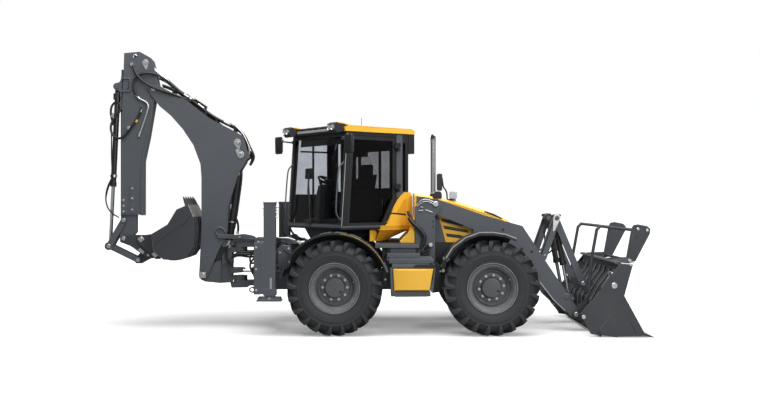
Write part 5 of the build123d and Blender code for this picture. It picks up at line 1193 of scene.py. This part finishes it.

# %% [markdown]
# ## Mudguards
# The guards are moulded plastic arches with a rolled lip. The rear lip carries a thin
# yellow line. The front guard is bent in flats and steers with its wheel, so it rides
# on the knuckle, held by bolts on a bracket. Black plates inside the arches are painted
# shade between guard and tyre, and a pale strip on the front guard's top is a painted
# highlight.

# %% Lips and brackets of the mudguards
GUARD = [(1.135, 1.15), (1.235, 1.305), (1.425, 1.452), (1.63, 1.528), (1.825, 1.53),
    (2.015, 1.502), (2.175, 1.438)]
REAR_HUB, FRONT_HUB = (REAR_AXLE, HUB_HEIGHT), (FRONT_AXLE, HUB_HEIGHT)
plates("rear_guard_lips", mirrored(band(REAR_HUB, 0.786, 0.819, 19, 169, 40), 1.154, 1.17),
    FENDER_PLASTIC, "chassis", 0.004)
# Black plates inside the rear arches: painted shade between guard and tyre.
plates("rear_guard_shade_plates", mirrored(band(REAR_HUB, 0.66, 0.8, 22, 166, 40), 0.752, 0.764),
    BLACK_PLASTIC, "chassis", 0.003)
plates("rear_guard_line", mirrored(band(REAR_HUB, 0.805, 0.8095, 21, 84, 24), 1.1695, 1.1715),
    YELLOW, "chassis", 0.0005)
plates("rear_guard_tips", mirrored(band(REAR_HUB, 0.8, 0.83, 17, 27, 6), 1.05, 1.176), CHARCOAL,
    "chassis", 0.004)
plates("rear_guard_steps", [entry for a in (62, 78, 94) for entry in mirrored(band(REAR_HUB, 0.817,
    0.823, a, a + 12, 6), 0.79, 1.13)], CHARCOAL, "chassis", 0.002)
for label, side in (("right", -1), ("left", 1)):
    body = f"knuckle_{label}"
    plates(f"front_guard_{label}", on_side(strip(GUARD, 0.016), side, 0.762, 1.168),
        FENDER_PLASTIC, body, 0.005)
    plates(f"front_guard_lip_{label}", on_side(strip([(x, z - 0.02) for x, z in GUARD], 0.045),
        side, 1.162, 1.172), FENDER_PLASTIC, body, 0.004)
    # A pale strip along the guard's top edge: a painted highlight.
    plates(f"front_guard_rim_{label}", on_side(strip([(x, z + 0.004) for x, z in GUARD], 0.016),
        side, 1.171, 1.1745), LIGHT_GREY, body, 0.001)
    # A black plate inside the front arch: painted shade between guard and tyre.
    plates(f"front_guard_liner_{label}", on_side(band(FRONT_HUB, 0.6, 0.795, 66, 146, 24), side,
        0.764, 0.772), BLACK_PLASTIC, body, 0.003)
    plates(f"guard_bracket_{label}", on_side([(1.105, 1.1), (1.12, 1.165), (1.165, 1.16),
        (1.17, 1.02), (1.13, 0.9), (1.1, 0.92)], side, 0.8, 0.83), BLACK_PAINT, body, 0.004)
    bolts(f"guard_bolts_{label}", [(1.138, side * 0.83, 1.135), (1.122, side * 0.83, 0.945)],
        0.016, 0.014, ZINC, body, facing=(0, side, 0))
print("guard points:", len(GUARD))

# %% [markdown]
# ## The cab's own directions
# The cab stands turned on its ring. Its pieces are drawn as if it faced along X, and one
# matrix turns them all, so that its sides stay easy to measure.

# %% Corner posts, sills and hinge posts
CAB = Matrix.Translation((-0.45, 0, 0)) @ Matrix.Rotation(radians(217), 4, "Z")
CAB_FACE = 0.757
FLOOR_FRONT, FRONT_LEAN, FLOOR_Z, WALL_TALL = 0.52, 0.105, 1.5903, 1.4547


def front_at(z):
    """Where the leaning front wall is at a height."""
    return FLOOR_FRONT - FRONT_LEAN * (z - FLOOR_Z) / WALL_TALL


def lean(z_low, z_high, near, far):
    """An outline that stands on the leaning front wall."""
    return [(front_at(z_low) + near, z_low), (front_at(z_low) + far, z_low),
        (front_at(z_high) + far, z_high), (front_at(z_high) + near, z_high)]


plates("cab_corner_posts", mirrored(lean(1.6, 3.035, -0.052, 0.004), CAB_FACE, CAB_FACE + 0.0085)
    + mirrored(lean(1.6, 3.035, -0.02, 0.0045), 0.712, 0.765), BLACK_PAINT, "cab", 0.003, CAB)
# Pale strips down the corner posts' outer edges: a painted highlight.
plates("cab_post_highlights", mirrored(lean(1.62, 3.02, -0.006, 0.0055), 0.764, 0.7675), LIGHT_GREY,
    "cab", 0.001, CAB)
plates("cab_sills", mirrored([(-0.285, 1.588), (-0.3, 1.616), (0.512, 1.616), (0.518, 1.588)],
    CAB_FACE, CAB_FACE + 0.0095) + across(lean(1.588, 1.635, -0.01, 0.0055), 0.764), CHARCOAL,
    "cab", 0.003, CAB)
plates("cab_hinge_posts", mirrored(rect(-0.64, -0.528, 2.05, 3.03), CAB_FACE, CAB_FACE + 0.0075),
    CHARCOAL, "cab", 0.003, CAB)
plates("cab_rear_posts", mirrored(rect(-0.76, -0.712, 2.05, 3.03), CAB_FACE, CAB_FACE + 0.0075),
    BLACK_PAINT, "cab", 0.003, CAB)
plates("cab_hinge_blocks", [([(-0.585, z), (-0.585, z + 0.075), (-0.52, z + 0.075),
    (-0.5, z + 0.06), (-0.5, z + 0.015), (-0.52, z)], 0.764, 0.8) for z in (2.19, 2.83)],
    BLACK_PAINT, "cab", 0.006, CAB)
plates("cab_top_frame", mirrored([(-0.76, 2.992), (-0.76, 3.044), (front_at(3.044), 3.044),
    (front_at(2.992), 2.992)], CAB_FACE, CAB_FACE + 0.0065), BLACK_PAINT, "cab", 0.002, CAB)
print("cab posts placed")

# %% [markdown]
# ## Window frames seen through the glass
# Looking through the cab one sees the frames on the far side and behind the seat. They
# are what makes tinted glass read as glass, so they're modelled as the dark bars they are.

# %% Bars, linings and blinds
plates("cab_side_bars", [box_plate((0.044, 0.07), (-0.744, -0.712), (1.95, 2.96)),
    box_plate((-0.22, 0.3), (-0.744, -0.716), (2.785, 2.812)), box_plate((-0.44, -0.22),
    (-0.738, -0.716), (1.62, 2.98))], BLACK_PLASTIC, "cab", 0.004, CAB)
plates("cab_rear_bars", [box_plate((-0.742, -0.712), (-0.53, -0.475), (2.17, 2.95)),
    box_plate((-0.742, -0.712), (0.042, 0.082), (2.17, 2.95)), box_plate((-0.74, -0.716),
    (-0.66, 0.66), (2.8, 2.955)), box_plate((-0.74, -0.716), (0.33, 0.655), (2.17, 2.955))],
    BLACK_PLASTIC, "cab", 0.004, CAB)
plates("cab_lining", [box_plate((-0.69, 0.33), (-0.69, 0.69), (3.0, 3.04)),
    box_plate((-0.7, -0.52), (0.58, 0.7), (1.62, 2.99)), box_plate((-0.7, -0.52), (-0.7, -0.58),
    (1.62, 2.99))], BLACK_PLASTIC, "cab", 0.02, CAB)
plates("cab_low_lining", [box_plate((-0.43, 0.42), (-0.738, -0.715), (1.606, 2.1)),
    box_plate((-0.742, -0.712), (-0.66, 0.66), (1.606, 2.2))], BLACK_PLASTIC, "cab", 0.01, CAB)
plates("cab_sun_blind", across(lean(2.86, 2.98, -0.075, -0.06), 0.62), BLACK_PLASTIC, "cab", 0.004,
    CAB)
print("window frames placed")

# %% [markdown]
# ## Seat, console and controls
# The seat is padded cloth over foam: cushions bulge between their seams. Levers stand on
# two armrest pods, and a screen sits on the console.

# %% Console, pods, levers and screen
plates("cab_console", [([(0.3, 1.6), (0.43, 1.6), (0.4, 2.1), (0.36, 2.24), (0.3, 2.26),
    (0.27, 2.2)], -0.12, 0.12), ([(0.26, 1.6), (0.44, 1.6), (0.43, 1.7), (0.28, 1.72)], -0.45,
    0.45)], BLACK_PLASTIC, "cab", 0.018, CAB)
plates("cab_arm_pods", mirrored([(-0.42, 2.02), (-0.4, 2.12), (-0.05, 2.16), (0.17, 2.16),
    (0.2, 2.1), (0.15, 2.02)], 0.3, 0.44), BLACK_PLASTIC, "cab", 0.022, CAB)
pipe("cab_levers", [[(0.12, y, 2.14), (0.13, y, 2.22), (0.15, y * 0.97, 2.29)]
    for y in (-0.37, 0.37)], 0.018, BLACK_PLASTIC, "cab", CAB)
pipe("cab_lever_heads", [[(0.145, y, 2.27), (0.155, y, 2.3), (0.158, y, 2.335)]
    for y in (-0.36, 0.36)], 0.028, BLACK_PLASTIC, "cab", CAB)
plates("cab_screen", [([(0.335, 2.34), (0.355, 2.35), (0.345, 2.52), (0.325, 2.51)], -0.52, -0.3)],
    BLACK_PLASTIC, "cab", 0.01, CAB)
pipe("cab_screen_arm", [[(0.36, -0.41, 2.1), (0.36, -0.41, 2.25), (0.345, -0.41, 2.36)]], 0.014,
    BLACK_PLASTIC, "cab", CAB)
ring = [(0.25 + 0.165 * cos(radians(a)) * cos(radians(28)), 0.165 * sin(radians(a)), 2.3
    + 0.165 * cos(radians(a)) * sin(radians(28))) for a in range(0, 375, 15)]
pipe("steering_wheel", [ring, [ring[0], (0.25, 0, 2.302), ring[12]],
    [ring[6], (0.25, 0, 2.302), ring[18]]], 0.0155, BLACK_PLASTIC, "cab", CAB)
plates("cab_pillar_box", [box_plate((-0.66, -0.6), (-0.34, -0.27), (2.44, 2.53))], BLACK_PLASTIC,
    "cab", 0.012, CAB)
plates("cab_floor_mat", [box_plate((-0.6, 0.44), (-0.66, 0.66), (1.592, 1.606))], BLACK_PLASTIC,
    "cab", 0.004, CAB)
print("controls placed")

# %% Mirrors and hand grips
def cab_mirror(label, side, drop):
    """A mirror on its bent arm, and the hand grip on the same corner post."""
    root = front_at(2.95)
    x = root + 0.13
    mount = [(root + 0.005, side * 0.712, 2.938), (root + 0.05, side * 0.74, 2.938),
        (root + 0.13, side * 0.9, 2.94 + drop * 0.4), (root + 0.13, side * 0.99, 2.9 + drop)]
    pipe(f"mirror_arm_{label}", [mount], 0.013, CHARCOAL, "cab", CAB)
    shell = [(x - 0.022, 2.7 + drop), (x - 0.03, 2.76 + drop), (x - 0.028, 2.95 + drop),
        (x - 0.012, 2.985 + drop), (x + 0.022, 2.98 + drop), (x + 0.026, 2.93 + drop),
        (x + 0.02, 2.72 + drop), (x + 0.01, 2.7 + drop)]
    head = plates(f"mirror_shell_{label}", on_side(shell, side, 0.912, 1.095), BLACK_PLASTIC,
        "cab", 0.016, CAB)
    glass = [(x - 0.033, 2.735 + drop), (x - 0.0335, 2.955 + drop), (x - 0.029, 2.955 + drop),
        (x - 0.029, 2.735 + drop)]
    plates(f"mirror_glass_{label}", on_side(glass, side, 0.925, 1.082), CHROME, "cab", 0.001, CAB)
    plates(f"mirror_mount_{label}", on_side(lean(2.915, 2.965, 0.0, 0.05), side, 0.692, 0.728),
        CHARCOAL, "cab", 0.004, CAB)
    ball = CAB @ Matrix.Translation((x - 0.02, side * 0.93, 2.93 + drop))
    turned(f"mirror_ball_{label}", [(0.0, -0.02), (0.018, -0.016), (0.022, 0.0), (0.018, 0.02),
        (0.0, 0.03)], ZINC, "cab", ball @ Matrix.Rotation(radians(90 * side), 4, "X"), steps=20)
    bends = ((2.575, 0.0), (2.56, 0.03), (2.52, 0.075), (2.45, 0.092), (2.2, 0.098), (1.9, 0.098),
        (1.8, 0.085), (1.74, 0.045), (1.72, 0.0))
    grip = [(front_at(z) + out, side * 0.726, z) for z, out in bends]
    pipe(f"hand_grip_{label}", [grip], 0.0115, CHARCOAL, "cab", CAB, order=4)
    plates(f"grip_feet_{label}", [entry for z in (1.72, 2.575) for entry in on_side(lean(z - 0.02,
        z + 0.02, 0.0, 0.012), side, 0.705, 0.747)], CHARCOAL, "cab", 0.003, CAB)
    return head


for label, side, drop in (("left", 1, 0.0), ("right", -1, 0.06)):
    head = cab_mirror(label, side, drop)
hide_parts("cab_fittings")
pipe("wiper", [[(front_at(1.66) + 0.008, -0.1, 1.66), (front_at(1.9) + 0.02, -0.12, 1.9),
    (front_at(2.25) + 0.012, -0.2, 2.25)], [(front_at(1.95) + 0.006, -0.135, 1.95),
    (front_at(2.45) + 0.006, -0.245, 2.45)]], 0.007, BLACK_PLASTIC, "cab", CAB)
plates("wiper_motor", [(lean(1.63, 1.69, 0.0, 0.03), -0.14, -0.06)], BLACK_PLASTIC, "cab", 0.006,
    CAB)
print("mirrors and grips placed")

# %% [markdown]
# ## Roof lamps and vents
# Two pods over the windscreen each hold a pair of round lamps. Between them black air
# scoops lie on the roof's front edge, over a pale light bar.

# %% Lamp pods, scoops and rear corner boxes
POD = [(0.338, 3.1335), (0.47, 3.17), (0.592, 3.1735), (0.635, 3.147), (0.628, 3.053),
    (0.5815, 3.0125), (0.385, 3.052)]
plates("lamp_pod_shells", mirrored(POD, 0.5455, 0.7445), BLACK_PLASTIC, "cab", 0.006, CAB)
for k, (y, side) in enumerate(((y, side) for side in (-1, 1) for y in (0.598, 0.692))):
    face = CAB @ Matrix.Translation((0.632, side * y, 3.098)) @ Matrix.Rotation(radians(90), 4, "Y")
    turned(f"roof_lamp_{k}", [(0.0465, -0.01), (0.0465, 0.008), (0.04, 0.01), (0.036, 0.004),
        (0.02, -0.002), (0.0, -0.004)], CHROME, "cab", face, steps=32)
    turned(f"roof_lens_{k}", [(0.0, 0.0065), (0.02, 0.006), (0.039, 0.004)], LAMP_GLASS, "cab",
        face, steps=32)
plates("pod_caps", mirrored([(0.29, 3.132), (0.472, 3.1735), (0.585, 3.1765), (0.57, 3.16),
    (0.46, 3.15), (0.33, 3.12)], 0.545, 0.745), YELLOW, "cab", 0.004, CAB)
plates("roof_scoops", [([(0.33, 3.132), (0.395, 3.15), (0.475, 3.145), (0.492, 3.118),
    (0.47, 3.098), (0.4, 3.1)], y, y + 0.165) for y in (-0.52, -0.305, -0.09, 0.125, 0.34)],
    BLACK_PLASTIC, "cab", 0.012, CAB)
plates("roof_visor", across([(0.36, 3.03), (0.48, 3.03), (0.508, 3.06), (0.5, 3.105), (0.4, 3.11)],
    0.5445), BLACK_PLASTIC, "cab", 0.006, CAB)
plates("roof_light_bar", [([(0.492, 3.058), (0.512, 3.06), (0.508, 3.098), (0.49, 3.1)], -0.5,
    0.52)], LIGHT_GREY, "cab", 0.004, CAB)
plates("roof_corner_boxes", mirrored(rect(-0.875, -0.759, 2.737, 3.044), 0.4675, 0.775),
    BLACK_PLASTIC, "cab", 0.003, CAB)
plates("roof_seal", mirrored(rect(-0.86, 0.44, 3.034, 3.0465), 0.7, 0.772), BLACK_PLASTIC, "cab",
    0.002, CAB)
plates("roof_bead", mirrored(strip([(-0.83, 3.108), (-0.6, 3.125), (0.3, 3.128)], 0.006), 0.7795,
    0.782), YELLOW, "cab", 0.001, CAB)
turned("roof_bolt", [(0.0, 0.02), (0.012, 0.02), (0.016, 0.0)], BLACK_PLASTIC, "cab",
    CAB @ Matrix.Translation((-0.1, 0.6, 3.128)), steps=16)
pipe("roof_antenna", [[(-0.8, -0.55, 3.1), (-0.8, -0.55, 3.25), (-0.8, -0.55, 3.4)]], 0.004,
    BLACK_PLASTIC, "cab", CAB)
print("roof dressed")

# %% [markdown]
# ## Tail panel
# The tail is a thick moulding. Each cheek has a sunk panel with a black air slot under
# it, and a crease runs where the side turns under. The sunk panel and the turned-under
# facets are a darker yellow: painted shade.

# %% Tail slots and creases
plates("tail_slots", mirrored([(-0.335, 1.8), (-0.345, 1.818), (-0.69, 1.795), (-0.69, 1.765)],
    0.776, 0.7855), BLACK_PLASTIC, "cab", 0.001, CAB)
plates("tail_crease", mirrored(strip([(-0.3, 1.668), (-0.8, 1.668)], 0.006), 0.7835, 0.7865),
    YELLOW, "cab", 0.001, CAB)
# A darker yellow plate in each sunk pocket: painted shade in the recess.
plates("tail_pocket_shade", mirrored([(-0.698, 1.802), (-0.698, 2.018), (-0.657, 2.008),
    (-0.562, 1.878), (-0.506, 1.802)], 0.7735, 0.775), SHADED_YELLOW, "cab", 0.0005, CAB)
plates("tail_pocket_rim", mirrored([(-0.702, 1.788), (-0.702, 1.8), (-0.5, 1.8), (-0.496, 1.788)],
    0.772, 0.785), YELLOW, "cab", 0.002, CAB)
plates("tail_lamps", mirrored(rect(-0.828, -0.822, 1.7, 1.86), 0.55, 0.7), BLACK_PLASTIC, "cab",
    0.002, CAB)


def tail_underside():
    """The tail's bottom edge drawn in to the round skirt, in flat facets."""
    half, back, low, steps = 0.7845, 0.8255, 1.372, 24
    rows = [[], [], []]
    for k in range(steps + 1):
        a = radians(104 + 152 * k / steps)
        reach = min(half / max(abs(sin(a)), 1e-06), back / max(-cos(a), 1e-06))
        for line, r, z in zip(rows, (reach, reach * 0.995, 0.702), (1.612, 1.56, low)):
            line.append((r * cos(a), r * sin(a), z))
    corners = rows[0] + rows[1] + rows[2]
    row = steps + 1
    faces = [(layer * row + k, layer * row + k + 1, (layer + 1) * row + k + 1,
        (layer + 1) * row + k) for layer in (0, 1) for k in range(steps)]
    return mesh_of("tail_underside", corners, faces)


# The underside facets take the shaded yellow: painted shade where the tail turns away from the
# light.
under = place_piece("tail_underside", tail_underside(), SHADED_YELLOW, "cab", CAB)
thick = under.modifiers.new("skin", "SOLIDIFY")
thick.thickness = 0.004
print("tail dressed")

# %% [markdown]
# ## Stabilisers and rear frame
# A stabiliser is a square tube that slides in a thicker one. Wear pads are set by rows
# of bolts near the top; the foot is a plate on a pin.

# %% Legs, wear pads and frame plates
LEG_Y, LEG_FACE = 1.03, 1.1145
for side, label in ((-1, "right"), (1, "left")):
    face = side * LEG_FACE
    bolts(f"leg_pad_bolts_{label}", [(-1.374, side * LEG_Y, z) for z in (1.905, 1.862, 1.82,
        1.755)], 0.013, 0.028, ZINC, "chassis", facing=(1, 0, 0))
    bolts(f"leg_back_bolts_{label}", [(-1.5465, side * LEG_Y, 1.895)], 0.014, 0.03, ZINC, "chassis",
        facing=(-1, 0, 0))
    bolts(f"leg_side_bolts_{label}", [(-1.46, face, 0.92), (-1.46, face, 1.115)], 0.01, 0.006,
        CHARCOAL, "chassis", facing=(0, side, 0))
    plates(f"leg_collar_{label}", on_side(rect(-1.552, -1.367, 1.956, 1.978), side, 0.94, 1.12),
        CHARCOAL, "chassis", 0.004)
    plates(f"leg_cap_{label}", on_side(rect(-1.53, -1.39, 1.968, 1.976), side, 0.955, 1.105),
        BLACK_PAINT, "chassis", 0.002)
    plates(f"leg_slot_{label}", on_side(rect(-1.452, -1.424, 0.64, 0.86), side, LEG_FACE,
        LEG_FACE + 0.0015), ZINC, "chassis", 0.001)
    plates(f"leg_lower_plate_{label}", on_side(rect(-1.552, -1.367, 0.598, 0.7), side, 0.94,
        1.1185), CHARCOAL, "chassis", 0.005)
    plates(f"foot_plate_{label}", on_side([(-1.65, 0.512), (-1.66, 0.526), (-1.6, 0.548),
        (-1.33, 0.548), (-1.275, 0.526), (-1.285, 0.512)], side, 0.935, 1.125), CHARCOAL,
        f"stabiliser_{label}", 0.006)
    pin_caps(f"foot_pin_{label}", [(-1.46, side * 1.114, 0.552)], 0.024, ZINC,
        f"stabiliser_{label}")
    plates(f"frame_end_{label}", on_side([(-1.69, 0.615), (-1.69, 1.375), (-1.6, 1.375),
        (-1.55, 1.3), (-1.55, 0.66), (-1.6, 0.615)], side, 1.11, 1.118), CHARCOAL, "chassis", 0.004)
    bolts(f"frame_end_bolts_{label}", [(-1.655, side * 1.118, z) for z in (0.68, 0.99, 1.31)],
        0.012, 0.01, ZINC, "chassis", facing=(0, side, 0))
plates("rear_deck", mirrored(strip([(-1.1, 1.375), (-0.935, 1.28)], 0.034), 0.42, 0.62),
    WHITE_PLASTIC, "chassis", 0.006)
plates("rear_deck_base", mirrored([(-1.36, 1.372), (-1.32, 1.43), (-1.22, 1.45), (-1.17, 1.4),
    (-0.98, 1.34), (-1.33, 1.33)], 0.42, 0.62), CHARCOAL, "chassis", 0.01)
plates("rear_deck_box", mirrored([(-1.36, 1.0), (-1.38, 1.27), (-1.3, 1.335), (-1.19, 1.325),
    (-1.155, 1.2), (-1.17, 1.02), (-1.24, 0.96)], 0.6, 0.86), CHARCOAL, "chassis", 0.012)
plates("rear_valves", mirrored([(-1.345, 1.7), (-1.345, 1.97), (-1.315, 1.985), (-1.292, 1.95),
    (-1.292, 1.68)], 0.62, 0.68), BLACK_PAINT, "chassis", 0.008)
plates("rear_valve_posts", mirrored(rect(-1.345, -1.318, 1.42, 1.7), 0.62, 0.66), BLACK_PAINT,
    "chassis", 0.004)
pipe("rear_deck_hoses", [[(-1.33, y, 1.66), (-1.345, y, 1.56), (-1.3, y * 0.95, 1.47),
    (-1.23, y * 0.9, 1.42)] for y in (-0.64, -0.6, 0.6, 0.64)] + [[(-1.39, -0.78, 1.33),
    (-1.33, -0.82, 1.4), (-1.25, -0.8, 1.38), (-1.2, -0.76, 1.3), (-1.17, -0.75, 1.2)],
    [(-1.4, -0.72, 1.24), (-1.34, -0.86, 1.31), (-1.24, -0.87, 1.27), (-1.17, -0.84, 1.16)]],
    0.016, HOSE_RUBBER, "chassis", order=4)
pipe("rear_deck_pipe", [[(-1.37, -0.7, 1.43), (-1.29, -0.7, 1.435), (-1.2, -0.7, 1.43),
    (-1.12, -0.7, 1.4)]], 0.012, ZINC, "chassis", order=3)
bolts("rear_deck_bolts", [(-1.33, -0.8605, 1.22), (-1.2, -0.8605, 1.28), (-1.2, -0.8605, 1.08)],
    0.012, 0.01, ZINC, "chassis")
print("stabilisers and rear frame dressed")

# %% [markdown]
# ## The seat
# Foam under cloth bulges between the seams. Two closed cushions are puffed by a short
# cloth run, with pressure and no gravity, and the result is kept as plain mesh.

# %% Padded seat
CLOTH_FRAMES, PUFF_PRESSURE, PUFF_LIMIT = 12, 4.0, 0.03
SEAT_CLOTH = moulded("seat_cloth", (0.022, 0.023, 0.026), 0.82, scale=700.0, strength=0.4)


def cushion(name, size, place, tilt):
    """A box rounded to foam, in a grid fine enough to puff."""
    bpy.ops.mesh.primitive_cube_add(size=1.0)
    pad = bpy.context.object
    pad.name, pad.scale = name, size
    bpy.ops.object.transform_apply(scale=True)
    edge = pad.modifiers.new("round", "BEVEL")
    edge.width, edge.segments = 0.03, 3
    grid = pad.modifiers.new("grid", "REMESH")
    grid.mode, grid.voxel_size, grid.use_smooth_shade = "VOXEL", 0.012, True
    grid.voxel_size = 0.0055
    puff = pad.modifiers.new("puff", "CLOTH")
    puff.settings.use_pressure = True
    puff.settings.uniform_pressure_force = PUFF_PRESSURE
    puff.settings.effector_weights.gravity = 0.0
    puff.settings.tension_stiffness = puff.settings.compression_stiffness = 40.0
    puff.point_cache.frame_end = CLOTH_FRAMES
    for step in range(1, CLOTH_FRAMES + 1):
        scene.frame_set(step)
    puffed = pad.evaluated_get(bpy.context.evaluated_depsgraph_get())
    baked = bpy.data.meshes.new_from_object(puffed)
    limit = [side / 2 + PUFF_LIMIT for side in size]
    for vertex in baked.vertices:
        vertex.co = [max(-most, min(most, value)) for value, most in zip(vertex.co, limit)]
    bpy.data.objects.remove(pad)
    scene.frame_set(1)
    baked.materials.clear()
    baked.shade_smooth()
    return place_piece(name, baked, SEAT_CLOTH, "cab",
        CAB @ Matrix.Translation(place) @ Matrix.Rotation(radians(tilt), 4, "Y"))


base = cushion("seat_cushion", (0.46, 0.46, 0.095), (-0.18, 0.0, 1.935), -3.0)
rest = cushion("seat_back_cushion", (0.095, 0.43, 0.46), (-0.44, 0.0, 2.135), -11.0)
plates("seat_headrest", across([(-0.545, 2.37), (-0.555, 2.56), (-0.535, 2.585), (-0.475, 2.575),
    (-0.455, 2.54), (-0.45, 2.38)], 0.125), SEAT_CLOTH, "cab", 0.03, CAB)
plates("seat_shell", across([(-0.47, 1.895), (-0.435, 1.88), (0.05, 1.885), (0.055, 1.9),
    (-0.43, 1.915), (-0.545, 2.42), (-0.56, 2.415)], 0.215), BLACK_PLASTIC, "cab", 0.008, CAB)
plates("seat_pedestal", across([(-0.34, 1.592), (-0.33, 1.885), (-0.03, 1.885), (-0.02, 1.592)],
    0.15), BLACK_PLASTIC, "cab", 0.02, CAB)
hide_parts("seat")
print("seat:", len(base.data.polygons), len(rest.data.polygons))

# %% [markdown]
# ## Floor, light and camera
# A product picture of a machine is shot on a white sweep under a wide ceiling of soft
# light, from standing height and well back, so that upright edges stay upright.

# %% Studio
WHITE = (1.0, 1.0, 1.0, 1.0)
FLOOR_SEEN = (0.8, 0.8, 0.8, 1.0)     # what the camera sees, before its glow
FLOOR_CAST = (0.34, 0.34, 0.34, 1.0)  # what the machine gets back from below
SKY_LEVEL = 0.34


def studio_floor():
    """A pale sheet that takes the shadow and glows to white away from the machine."""
    mesh = mesh_of("floor", [(-60, -40, 0), (60, -40, 0), (60, 90, 0), (-60, 90, 0)],
        [(0, 1, 2, 3)])
    floor = bpy.data.objects.new("floor", mesh)
    scene.collection.objects.link(floor)
    material = bpy.data.materials.new("white_sweep")
    material.use_nodes = True
    tree = material.node_tree
    shader = tree.nodes["Principled BSDF"]
    shader.inputs["Roughness"].default_value = 0.9
    shader.inputs["Specular IOR Level"].default_value = 0.0
    path = tree.nodes.new("ShaderNodeLightPath")
    spot = tree.nodes.new("ShaderNodeTexCoord")
    squeeze = add_node(tree, "ShaderNodeVectorMath", [(0, spot.outputs["Object"]),
        (1, (0.17, 0.32, 0.0))], operation="MULTIPLY")
    away = add_node(tree, "ShaderNodeVectorMath", [(0, squeeze.outputs[0])], operation="LENGTH")
    glow = add_node(tree, "ShaderNodeMapRange", [("Value", away.outputs["Value"]),
        ("From Min", 0.6), ("From Max", 1.5), ("To Min", 0.2), ("To Max", 1.0)])
    shader_colour = blend_colour(tree, path.outputs["Is Camera Ray"], FLOOR_CAST, FLOOR_SEEN)
    tree.links.new(shader_colour, shader.inputs["Base Color"])
    seen = add_node(tree, "ShaderNodeMath", [(0, path.outputs["Is Camera Ray"]),
        (1, glow.outputs[0])], operation="MULTIPLY")
    shader.inputs["Emission Color"].default_value = WHITE
    tree.links.new(seen.outputs[0], shader.inputs["Emission Strength"])
    mesh.materials.append(material)


def studio_sky():
    """An even dome, which the camera and the glass see as white."""
    world = bpy.data.worlds.new("sweep")
    scene.world = world
    world.use_nodes = True
    tree = world.node_tree
    tree.nodes.clear()
    path = tree.nodes.new("ShaderNodeLightPath")
    shows = add_node(tree, "ShaderNodeMath", [(0, path.outputs["Is Camera Ray"]),
        (1, path.outputs["Is Transmission Ray"])], operation="MAXIMUM")
    level = add_node(tree, "ShaderNodeMapRange", [("Value", shows.outputs[0]),
        ("To Min", SKY_LEVEL), ("To Max", 1.0)])
    sky = add_node(tree, "ShaderNodeBackground", [("Color", WHITE), ("Strength", level.outputs[0])])
    out = tree.nodes.new("ShaderNodeOutputWorld")
    tree.links.new(sky.outputs[0], out.inputs[0])


def soft_box(name, place, aim, size, power):
    """A wide lamp that faces a point."""
    lamp = bpy.data.lights.new(name, "AREA")
    lamp.shape, lamp.energy = "RECTANGLE", power
    lamp.size, lamp.size_y = size
    holder = bpy.data.objects.new(name, lamp)
    holder.location = place
    holder.rotation_euler = (Vector(aim) - Vector(place)).to_track_quat("-Z", "Y").to_euler()
    scene.collection.objects.link(holder)


CAMERA_AT = (0.17, -14.7, 2.03)
LENS = 43.7
studio_floor()
studio_sky()
soft_box("ceiling", (0.5, -2.0, 9.0), (0.0, 0.0, 1.0), (12.0, 7.0), 1150.0)
soft_box("front_fill", (7.0, -13.0, 7.0), (0.3, 0.0, 1.8), (6.0, 4.0), 900.0)
camera = bpy.data.objects.new("camera", bpy.data.cameras.new("camera"))
camera.data.lens = LENS
camera.data.shift_y = -0.00184
camera.location = CAMERA_AT
camera.rotation_euler = (radians(90), 0, 0)   # level, looking along +Y
scene.collection.objects.link(camera)
scene.camera = camera
scene.view_settings.view_transform = "Standard"
print("camera", tuple(camera.location), "lens", LENS)
